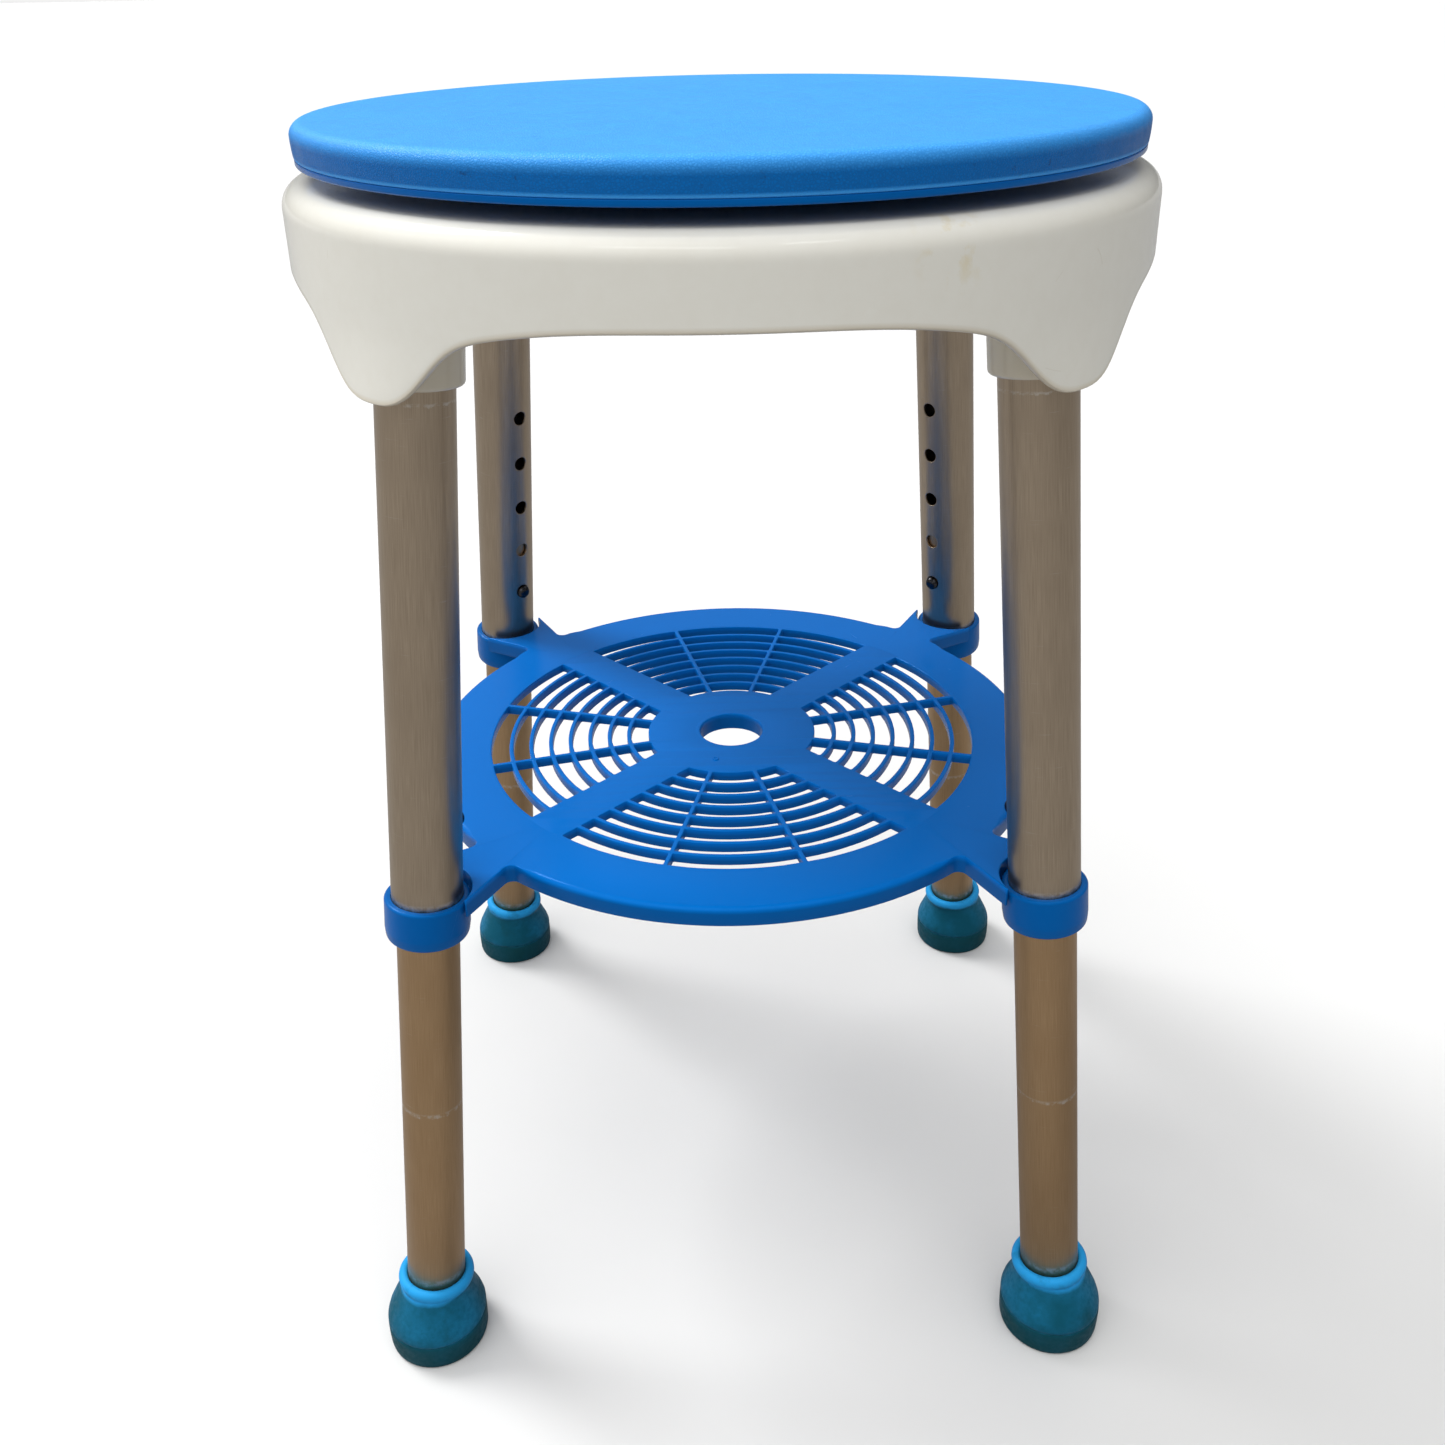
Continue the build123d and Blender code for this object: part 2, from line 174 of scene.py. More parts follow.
def legReach(height):
    # distance of a leg's axis from the stool's own axis
    leg = legs["rear_right"]
    at = leg["floor"] + np.array(leg["up"]) * (height * stretch)
    return float(np.hypot(at[0], at[1]))


legLean = (legReach(0.3) - legReach(0.2)) / 0.1


def legRevolve(corner, profile, segments=96):
    leg = legs[corner]
    return revolve(profile, leg["floor"], leg["basis"], segments)


# Material helpers

def addNode(tree, kind, values=None, links=None, **settings):
    node = tree.nodes.new(kind)
    for key, value in settings.items():
        setattr(node, key, value)
    for key, value in (values or {}).items():
        node.inputs[key].default_value = value
    for key, source in (links or {}).items():
        tree.links.new(source, node.inputs[key])
    return node


def startGroup(name, inputs, outputs):
    tree = bpy.data.node_groups.new(name, "ShaderNodeTree")
    for label, kind, value in inputs:
        socket = tree.interface.new_socket(label, in_out="INPUT", socket_type=kind)
        if value is not None:
            socket.default_value = value
    for label, kind in outputs:
        tree.interface.new_socket(label, in_out="OUTPUT", socket_type=kind)
    return tree, tree.nodes.new("NodeGroupInput").outputs, tree.nodes.new("NodeGroupOutput").inputs


def ramp(tree, source, low, high):
    # 0 below low, 1 above high, straight between
    node = addNode(tree, "ShaderNodeMapRange", {"From Min": low, "From Max": high}, {"Value": source})
    return node.outputs["Result"]


def times(tree, first, second):
    node = addNode(tree, "ShaderNodeMath", links={0: first}, operation="MULTIPLY")
    if hasattr(second, "is_linked"):
        tree.links.new(second, node.inputs[1])
    else:
        node.inputs[1].default_value = second
    return node.outputs[0]


def plus(tree, first, second):
    return addNode(tree, "ShaderNodeMath", links={0: first, 1: second}, operation="ADD").outputs[0]


def noise(tree, vector, scale, detail=3.0, roughness=0.5):
    values = {"Detail": detail, "Roughness": roughness}
    links = {"Vector": vector}
    if hasattr(scale, "is_linked"):
        links["Scale"] = scale
    else:
        values["Scale"] = scale
    return addNode(tree, "ShaderNodeTexNoise", values, links).outputs["Fac"]


def mixColor(tree, mask, first, second, blend="MIX"):
    node = addNode(tree, "ShaderNodeMix", data_type="RGBA", blend_type=blend)
    for index, value in ((0, mask), (6, first), (7, second)):
        if hasattr(value, "is_linked"):
            tree.links.new(value, node.inputs[index])
        else:
            node.inputs[index].default_value = value
    return node.outputs[2]


def skinGrainGroup():
    # pebbled skin: rounded cells with soft creases between, warped so that no row shows
    tree, given, out = startGroup("skinGrain", [("Vector", "NodeSocketVector", None),
                                                ("Scale", "NodeSocketFloat", 900.0)],
                                  [("Height", "NodeSocketFloat"), ("Crease", "NodeSocketFloat")])
    warp = addNode(tree, "ShaderNodeTexNoise", {"Scale": 260.0, "Detail": 2.0}, {"Vector": given["Vector"]})
    shift = addNode(tree, "ShaderNodeVectorMath", {1: (0.0016, 0.0016, 0.0016)}, {0: warp.outputs["Color"]},
                    operation="MULTIPLY")
    place = addNode(tree, "ShaderNodeVectorMath", links={0: given["Vector"], 1: shift.outputs[0]},
                    operation="ADD")
    cells = addNode(tree, "ShaderNodeTexVoronoi", {"Randomness": 0.9},
                    {"Vector": place.outputs[0], "Scale": given["Scale"]}, feature="DISTANCE_TO_EDGE")
    crease = ramp(tree, cells.outputs["Distance"], 0.0, 0.28)
    fine = noise(tree, given["Vector"], 2400.0, 2.0)
    tree.links.new(plus(tree, crease, times(tree, fine, 0.35)), out["Height"])
    inverse = addNode(tree, "ShaderNodeMath", {0: 1.0}, {1: crease}, operation="SUBTRACT")
    tree.links.new(inverse.outputs[0], out["Crease"])
    return tree


def toneGroup():
    # slow drift of colour over a surface, with finer mottling on top
    tree, given, out = startGroup("toneDrift", [("Vector", "NodeSocketVector", None),
                                                ("Broad Scale", "NodeSocketFloat", 9.0),
                                                ("Fine Scale", "NodeSocketFloat", 120.0)],
                                  [("Broad", "NodeSocketFloat"), ("Fine", "NodeSocketFloat")])
    broad = noise(tree, given["Vector"], given["Broad Scale"], 3.0)
    fine = noise(tree, given["Vector"], given["Fine Scale"], 5.0, 0.6)
    tree.links.new(ramp(tree, broad, 0.35, 0.65), out["Broad"])
    tree.links.new(ramp(tree, fine, 0.38, 0.68), out["Fine"])
    return tree


def scratchGroup():
    # sparse hairline scratches: thin borders of large warped cells, kept only in scattered patches
    tree, given, out = startGroup("scratches", [("Vector", "NodeSocketVector", None),
                                                ("Scale", "NodeSocketFloat", 30.0),
                                                ("Width", "NodeSocketFloat", 0.012),
                                                ("Cover", "NodeSocketFloat", 0.6)],
                                  [("Mask", "NodeSocketFloat")])
    warp = addNode(tree, "ShaderNodeTexNoise", {"Scale": 18.0, "Detail": 1.0}, {"Vector": given["Vector"]})
    shift = addNode(tree, "ShaderNodeVectorMath", {1: (0.05, 0.05, 0.05)}, {0: warp.outputs["Color"]},
                    operation="MULTIPLY")
    place = addNode(tree, "ShaderNodeVectorMath", links={0: given["Vector"], 1: shift.outputs[0]},
                    operation="ADD")
    cells = addNode(tree, "ShaderNodeTexVoronoi", {"Randomness": 1.0},
                    {"Vector": place.outputs[0], "Scale": given["Scale"]}, feature="DISTANCE_TO_EDGE")
    near = addNode(tree, "ShaderNodeMapRange", {"From Max": 0.0, "To Min": 0.0, "To Max": 1.0},
                   {"Value": cells.outputs["Distance"], "From Min": given["Width"]})
    patch = noise(tree, given["Vector"], 55.0, 2.0)
    kept = addNode(tree, "ShaderNodeMath", links={0: patch, 1: given["Cover"]}, operation="GREATER_THAN")
    tree.links.new(times(tree, near.outputs["Result"], kept.outputs[0]), out["Mask"])
    return tree


groups = {"grain": skinGrainGroup(), "tone": toneGroup(), "scratch": scratchGroup()}


def useGroup(tree, name, vector, values=None):
    node = addNode(tree, "ShaderNodeGroup", node_tree=groups[name])
    tree.links.new(vector, node.inputs["Vector"])
    for key, value in (values or {}).items():
        node.inputs[key].default_value = value
    return node.outputs


def startMaterial(name, coordinates="Object", **settings):
    # an empty material: its tree, its shader and the coordinates that its patterns read
    material = bpy.data.materials.new(name)
    material.use_nodes = True
    tree = material.node_tree
    shader = tree.nodes["Principled BSDF"]
    for key, value in settings.items():
        shader.inputs[key.replace("_", " ")].default_value = value
    vector = addNode(tree, "ShaderNodeTexCoord").outputs[coordinates]
    return material, tree, shader, vector


def bump(tree, shader, height, strength, distance):
    node = addNode(tree, "ShaderNodeBump", {"Strength": strength, "Distance": distance}, {"Height": height})
    tree.links.new(node.outputs["Normal"], shader.inputs["Normal"])


def spreadRoughness(tree, shader, mask, low, high):
    # roughness between two values, as the mask goes from 0 to 1
    node = addNode(tree, "ShaderNodeMapRange", {"To Min": low, "To Max": high}, {"Value": mask})
    tree.links.new(node.outputs["Result"], shader.inputs["Roughness"])


def rgb(red, green, blue):
    return (red, green, blue, 1.0)


# Finishes

# top holds a painted sheen, its raised red standing for reflected light; side is the same vinyl darkened as
# painted shade
vinylLook = {"top": rgb(0.06, 0.385, 0.93), "worn": rgb(0.085, 0.435, 0.95),
             "side": rgb(0.001, 0.145, 0.50), "crease": rgb(0.003, 0.20, 0.66),
             "scuff": rgb(0.008, 0.045, 0.15), "roughness": (0.40, 0.52), "grain": 1050.0,
             "edge": (511.5 * mm, 516.8 * mm), "lip": (505.4 * mm, 506.6 * mm)}


def seatVinyl():
    # grained skin with painted light: a painted sheen makes the top paler and painted shade makes the side darker;
    # worn tone on top, scuffs round the side, and a pale welded lip below
    look = vinylLook
    material, tree, shader, vector = startMaterial("seatVinyl", Specular_IOR_Level=0.35,
                                                   Specular_Tint=rgb(0.25, 0.6, 1.0))
    grain = useGroup(tree, "grain", vector, {"Scale": look["grain"]})
    tone = useGroup(tree, "tone", vector, {"Broad Scale": 7.0, "Fine Scale": 90.0})
    hairline = useGroup(tree, "scratch", vector, {"Scale": 26.0, "Width": 0.012, "Cover": 0.66})
    height = addNode(tree, "ShaderNodeSeparateXYZ", links={0: vector}).outputs["Z"]
    # across the edge's heights the top's pale colour with its painted sheen gives way to the side's painted shade
    onTop = ramp(tree, height, *look["edge"])
    top = mixColor(tree, times(tree, tone["Broad"], 0.35), look["top"], look["worn"])
    top = mixColor(tree, times(tree, grain["Crease"], 0.4), top, look["crease"])
    speck = ramp(tree, noise(tree, vector, 230.0, 4.0, 0.65), 0.64, 0.7)
    side = mixColor(tree, times(tree, grain["Crease"], 0.3), look["side"], look["scuff"])
    side = mixColor(tree, times(tree, speck, 0.7), side, look["scuff"])
    side = mixColor(tree, ramp(tree, height, look["lip"][1], look["lip"][0]), side, look["top"])
    color = mixColor(tree, onTop, side, top)
    color = mixColor(tree, times(tree, hairline["Mask"], 0.3), color, look["side"])
    tree.links.new(color, shader.inputs["Base Color"])
    spreadRoughness(tree, shader, tone["Fine"], *look["roughness"])
    bump(tree, shader, grain["Height"], 0.5, 0.00016)
    return material


def mouldedPlastic(name, face, shade, stain, roughness, marks=0.2, gloss=0.5, sheen=(1, 1, 1)):
    # injection moulding: near even colour, a fine bloom in the gloss, hairline scratches and faint stains
    material, tree, shader, vector = startMaterial(name, Specular_IOR_Level=gloss,
                                                   Specular_Tint=rgb(*sheen))
    tone = useGroup(tree, "tone", vector, {"Broad Scale": 6.0, "Fine Scale": 150.0})
    scratch = useGroup(tree, "scratch", vector, {"Scale": 22.0, "Width": 0.006, "Cover": 0.64})
    color = mixColor(tree, times(tree, tone["Broad"], 0.5), face, shade)
    color = mixColor(tree, times(tree, tone["Fine"], marks * 0.2), color, stain)
    color = mixColor(tree, times(tree, scratch["Mask"], marks), color, stain)
    bloom = plus(tree, times(tree, tone["Fine"], 0.6), times(tree, scratch["Mask"], 0.5))
    spreadRoughness(tree, shader, bloom, *roughness)
    bump(tree, shader, noise(tree, vector, 260.0, 2.0), 0.1, 0.00002)
    tree.links.new(color, shader.inputs["Base Color"])
    return material, tree, shader, vector, color


# paintedSideShade is the blue plastic darkened as painted shade, for the sides of the shelf and collars
bluePlastic = {"face": rgb(0.0006, 0.165, 0.62), "shade": rgb(0.0004, 0.15, 0.57),
               "mark": rgb(0.006, 0.22, 0.74), "paintedSideShade": rgb(0.0004, 0.105, 0.39), "roughness": (0.22, 0.3),
               "marks": 0.07, "gloss": 0.3, "sheen": (0.1, 0.45, 1.0),
               "shelfEdge": (2.6 * mm, 0.9 * mm), "collarEdge": (1.7 * mm, 0.6 * mm)}
# a darker copy of the blue plastic, its darkness painted shade, for the seat board and the other blue_plastic
# parts
shadedBlue = {"face": rgb(0.0005, 0.105, 0.39), "shade": rgb(0.0004, 0.095, 0.35),
              "mark": rgb(0.003, 0.14, 0.48), "roughness": (0.2, 0.28)}


def edgedBlue(name, top, slope, reach):
    # blue plastic, paler at its top edge and darker down its sides, the darkening being painted shade; the top
    # edge may rise outwards by slope
    look = bluePlastic
    material, tree, shader, vector, color = mouldedPlastic(
        name, look["face"], look["shade"], look["mark"], look["roughness"], look["marks"], look["gloss"],
        look["sheen"])
    height = addNode(tree, "ShaderNodeSeparateXYZ", links={0: vector}).outputs["Z"]
    flat = addNode(tree, "ShaderNodeVectorMath", {1: (1.0, 1.0, 0.0)}, {0: vector}, operation="MULTIPLY")
    outward = addNode(tree, "ShaderNodeVectorMath", links={0: flat.outputs[0]}, operation="LENGTH")
    level = plus(tree, height, times(tree, outward.outputs["Value"], -slope))
    # the plain colour holds at the top edge; below it the painted shade takes over
    upper = ramp(tree, level, top - reach[0], top - reach[1])
    tree.links.new(mixColor(tree, upper, look["paintedSideShade"], color), shader.inputs["Base Color"])
    return material


# lip is the lower edge's own yellowing, and also the painted shade on the sleeves and ribs
agedWhite = {"face": rgb(0.83, 0.815, 0.745), "shade": rgb(0.80, 0.78, 0.70), "mark": rgb(0.62, 0.56, 0.44),
             "roughness": (0.09, 0.15), "marks": 0.3, "stain": rgb(0.70, 0.58, 0.30),
             "stainPlace": (0.0695, -0.155, 0.4895), "stainSize": (17 * mm, 3 * mm),
             "lip": rgb(0.60, 0.50, 0.34), "lipReach": (2.6 * mm, 0.6 * mm)}


def housingPlastic():
    # the base's plastic, yellowed along its lower lip and in one patch of the shoulder; its sleeves and ribs take
    # the lip's beige as painted shade
    look = agedWhite
    material, tree, shader, vector, color = mouldedPlastic(
        "mouldedWhite", look["face"], look["shade"], look["mark"], look["roughness"], look["marks"])
    away = addNode(tree, "ShaderNodeVectorMath", {1: look["stainPlace"]}, {0: vector}, operation="DISTANCE")
    patch = ramp(tree, away.outputs["Value"], *look["stainSize"])
    blotch = ramp(tree, noise(tree, vector, 130.0, 4.0, 0.6), 0.5, 0.66)
    color = mixColor(tree, times(tree, times(tree, patch, blotch), 0.55), color, look["stain"])
    flat = addNode(tree, "ShaderNodeTexCoord").outputs["UV"]
    fromLip = addNode(tree, "ShaderNodeSeparateXYZ", links={0: flat}).outputs["Y"]
    # the lip's yellowing, laid too on the sleeves and ribs as painted shade
    color = mixColor(tree, times(tree, ramp(tree, fromLip, *look["lipReach"]), 0.6), color, look["lip"])
    tree.links.new(color, shader.inputs["Base Color"])
    return material


def ringMark(tree, along, wobble, centre, halfWidth):
    # 1 on a ring around the tube at a distance along it, with a wavering edge
    lifted = plus(tree, along, times(tree, wobble, 0.004))
    off = addNode(tree, "ShaderNodeMath", {1: centre + 0.002}, {0: lifted}, operation="SUBTRACT")
    size = addNode(tree, "ShaderNodeMath", links={0: off.outputs[0]}, operation="ABSOLUTE")
    return ramp(tree, size.outputs[0], halfWidth, halfWidth * 0.4)


def drawnAluminium(name, face, shade, roughness, rings):
    # drawn tube: streaks along the tube, clouding, fine turned-in scuffs where tubes slide,
    # and pale rings of soap and wear at given distances up the leg
    material, tree, shader, vector = startMaterial(name, "UV", Metallic=1.0)
    streaks = addNode(tree, "ShaderNodeMapping", {"Scale": (7.0, 1.2, 1.0)}, {"Vector": vector})
    streak = noise(tree, streaks.outputs[0], 45.0, 4.0, 0.6)
    clouds = noise(tree, addNode(tree, "ShaderNodeMapping", {"Scale": (1.0, 9.0, 1.0)},
                                 {"Vector": vector}).outputs[0], 3.0, 3.0)
    turns = addNode(tree, "ShaderNodeMapping", {"Scale": (1.5, 420.0, 1.0)}, {"Vector": vector})
    turn = noise(tree, turns.outputs[0], 3.0, 3.0, 0.7)
    turnMask = ramp(tree, turn, 0.66, 0.74)
    along = addNode(tree, "ShaderNodeSeparateXYZ", links={0: vector}).outputs["Y"]
    speckle = noise(tree, addNode(tree, "ShaderNodeMapping", {"Scale": (1.0, 11.0, 1.0)},
                                  {"Vector": vector}).outputs[0], 26.0, 5.0, 0.7)
    color = mixColor(tree, ramp(tree, streak, 0.35, 0.7), face, shade)
    color = mixColor(tree, times(tree, ramp(tree, clouds, 0.4, 0.7), 0.5), color, shade)
    color = mixColor(tree, times(tree, turnMask, 0.25), color, tubeMarks["pale"])
    dulled = times(tree, turnMask, 0.5)
    for centre, halfWidth in rings:
        ring = ringMark(tree, along, speckle, centre, halfWidth)
        mark = times(tree, ring, ramp(tree, speckle, 0.42, 0.6))
        color = mixColor(tree, times(tree, mark, 0.5), color, tubeMarks["pale"])
        dulled = plus(tree, dulled, mark)
    tree.links.new(color, shader.inputs["Base Color"])
    uneven = plus(tree, times(tree, ramp(tree, streak, 0.3, 0.7), 0.7), dulled)
    spreadRoughness(tree, shader, uneven, *roughness)
    bump(tree, shader, plus(tree, streak, times(tree, turn, 0.6)), 0.12, 0.00004)
    return material


# distances up the leg of the worn rings on each tube, with their half widths
tubeMarks = {"pale": rgb(0.70, 0.68, 0.64), "outer": [(0.2345, 0.0018), (0.4345, 0.0007)],
             "inner": [(0.1320, 0.0013), (0.0400, 0.0020)]}


def turnedMetal(name, face, shade, roughness):
    # plated or polished small metal parts
    material, tree, shader, vector = startMaterial(name, Metallic=1.0)
    tone = useGroup(tree, "tone", vector, {"Broad Scale": 60.0, "Fine Scale": 700.0})
    color = mixColor(tree, times(tree, tone["Fine"], 0.6), face, shade)
    tree.links.new(color, shader.inputs["Base Color"])
    spreadRoughness(tree, shader, tone["Broad"], *roughness)
    bump(tree, shader, noise(tree, vector, 1500.0, 2.0), 0.15, 0.00002)
    return material


# bead is a painted highlight colour
rubberLook = {"face": rgb(0.002, 0.085, 0.14), "pale": rgb(0.008, 0.16, 0.31),
              "dirt": rgb(0.002, 0.045, 0.052), "bead": rgb(0.02, 0.33, 0.74), "crease": 12.8 * mm,
              "beadStart": 31.5 * mm, "roughness": (0.42, 0.68)}


def footRubber():
    # mottled rubber with dirty smudges, darker below the crease, and a painted highlight of bright blue at the
    # bead
    look = rubberLook
    material, tree, shader, vector = startMaterial("footRubber", Specular_IOR_Level=0.25,
                                                   Specular_Tint=rgb(0.4, 0.75, 1.0))
    tone = useGroup(tree, "tone", vector, {"Broad Scale": 45.0, "Fine Scale": 420.0})
    height = addNode(tree, "ShaderNodeSeparateXYZ", links={0: vector}).outputs["Z"]
    smudge = noise(tree, vector, 85.0, 4.0, 0.6)
    color = mixColor(tree, tone["Broad"], look["face"], look["pale"])
    color = mixColor(tree, times(tree, tone["Fine"], 0.5), color, look["face"])
    lifted = plus(tree, height, times(tree, smudge, 0.004))
    below = ramp(tree, lifted, look["crease"] + 0.0025, look["crease"] + 0.0015)
    color = mixColor(tree, times(tree, below, 0.75), color, look["dirt"])
    # the bead's bright blue is a painted highlight
    paintedBeadHighlight = ramp(tree, lifted, look["beadStart"] + 0.001, look["beadStart"] + 0.003)
    color = mixColor(tree, paintedBeadHighlight, color, look["bead"])
    color = mixColor(tree, times(tree, ramp(tree, smudge, 0.56, 0.75), 0.5), color, look["dirt"])
    tree.links.new(color, shader.inputs["Base Color"])
    spreadRoughness(tree, shader, tone["Fine"], *look["roughness"])
    bump(tree, shader, noise(tree, vector, 900.0, 4.0), 0.35, 0.00006)
    return material


collarTop = 232 * mm  # height of a collar's mouth, measured on its leg's axis

materials = {
    "seat_skin": seatVinyl(),
    # the blue_plastic parts take the darker copy: painted shade
    "blue_plastic": mouldedPlastic("mouldedBlue", *shadedBlue.values(), bluePlastic["marks"],
                                   bluePlastic["gloss"], bluePlastic["sheen"])[0],
    # shelf and collars: painted shade down their sides below paler top edges
    "shelf_plastic": edgedBlue("shelfBlue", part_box("shelf")[1].z, 0.0, bluePlastic["shelfEdge"]),
    "collar_plastic": edgedBlue("collarBlue", collarTop - legLean * legReach(collarTop), -legLean,
                                bluePlastic["collarEdge"]),
    "white_plastic": housingPlastic(),
    "leg_aluminium": drawnAluminium("drawnAluminium", rgb(0.45, 0.36, 0.265), rgb(0.35, 0.275, 0.20),
                                    (0.32, 0.44), tubeMarks["outer"]),
    "inner_aluminium": drawnAluminium("drawnAluminiumInner", rgb(0.48, 0.32, 0.18), rgb(0.40, 0.255, 0.135),
                                      (0.34, 0.46), tubeMarks["inner"]),
    "bright_steel": turnedMetal("polishedSteel", rgb(0.05, 0.05, 0.055), rgb(0.03, 0.03, 0.033),
                                (0.14, 0.24)),
    "zinc_steel": turnedMetal("zincPlatedSteel", rgb(0.62, 0.63, 0.66), rgb(0.48, 0.49, 0.53), (0.28, 0.4)),
    "spring_steel": turnedMetal("springSteel", rgb(0.30, 0.31, 0.35), rgb(0.2, 0.21, 0.25), (0.3, 0.42)),
    "white_nylon": mouldedPlastic("whiteNylon", rgb(0.82, 0.82, 0.79), rgb(0.78, 0.78, 0.74),
                                  rgb(0.6, 0.6, 0.56), (0.4, 0.5))[0],
    "foot_rubber": footRubber(),
}
for row in frame["record"]["subparts"]:
    carried = nodes[row["node"]].data
    carried.materials.clear()
    carried.materials.append(materials[row["material_slot"]])
print("finishes ready:", len(materials))


# Seat

seat = {"edgeRound": 4.6 * mm, "lipRound": 0.9 * mm, "crown": 0.5 * mm, "sideSwell": 0.35 * mm,
        "lipSetback": 0.3 * mm, "segments": 256}
board = {"lip": 2.5 * mm, "bore": 4.08 * mm, "hubRadius": 14 * mm, "recessRadius": 69 * mm,
         "counterbore": (8 * mm, 500 * mm)}


def seatPadPatches():
    # a low crowned disc: its height falls by crown with the radius to the fourth power, and its side swells
    low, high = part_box("seat_pad")
    radius, bottom, top = high.x, low.z, high.z
    outline = [(0.0, bottom), (radius - seat["lipSetback"], bottom), (radius, top), (0.0, top)]
    steps = 10
    side = steps + 2  # the middle and the lip's round come before the side's upper end
    profile = roundCorners(outline, [0, seat["lipRound"], seat["edgeRound"], 0], steps)
    topRun = profile[-2] + (profile[-1] - profile[-2]) * np.linspace(0, 1, 40)[1:-1, None]
    sideRun = profile[side - 1] + (profile[side] - profile[side - 1]) * np.linspace(0, 1, 9)[1:-1, None]
    profile = np.concatenate([profile[:side], sideRun, profile[side:-1], topRun, profile[-1:]])
    share = profile[:, 0] / radius
    upper = profile[:, 1] > (top + bottom) / 2
    profile[:, 1] -= np.where(upper, seat["crown"] * share ** 4, 0)
    middle = np.sin(np.pi * np.clip((profile[:, 1] - bottom) / (top - bottom), 0, 1))
    profile[:, 0] += np.where(share > 0.97, seat["sideSwell"] * (middle - 1), 0)
    return [grid(revolve(profile, segments=seat["segments"]), wrapColumns=True)]


seatPad = makePiece("seatPad", seatPadPatches(), materials["seat_skin"], "seat", ["seat_pad"])


def seatBoardPatches():
    # the board's rim shows as a thin lip; a stepped hub carries the bearing's upper race
    low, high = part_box("seat_board")
    radius, top = high.x, high.z
    lipBottom = top - board["lip"]
    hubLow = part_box("swivel_race_upper")[1].z
    bore, hub, recess = board["bore"], board["hubRadius"], board["recessRadius"]
    head, headBottom = board["counterbore"]
    outline = [(bore, low.z), (hub, low.z), (hub, hubLow), (recess, hubLow), (recess, lipBottom),
               (radius, lipBottom), (radius, top), (head, top), (head, headBottom), (bore, headBottom)]
    profile = roundCorners(outline, [0, 0.6 * mm, 0, 0.8 * mm, 0.8 * mm, 0.9 * mm, 0.5 * mm, 0, 0, 0], 4)
    return [grid(revolve(profile, segments=seat["segments"]), wrapRows=True, wrapColumns=True)]


makePiece("seatBoard", seatBoardPatches(), materials["blue_plastic"], "seat", ["seat_board"])
print("seat done")


# Base

base = {"wall": 3.0 * mm, "shoulder": 9.0 * mm, "midBottom": 466.3 * mm, "lobe": (0.66, 10.6, 3.0),
        "flank": (0.34, 20.5, 2.5), "lobeBulge": 1.9 * mm, "bulgeWidth": 9.5, "bulgeTop": 460 * mm,
        "bead": 1.2 * mm, "innerTop": 486 * mm, "wellRadius": 72 * mm, "wellFloor": 488 * mm,
        "bossRadius": 16 * mm, "bossBottom": 478 * mm, "bore": 4.05 * mm, "segments": 384,
        "socketRadius": 17.6 * mm, "socketBottom": 437 * mm, "socketTop": 488 * mm,
        "tubeRadius": 14.35 * mm, "ribHalf": 1.5 * mm, "ribBottom": 478 * mm, "ribTop": 494 * mm,
        "ribGap": 1.5 * mm}


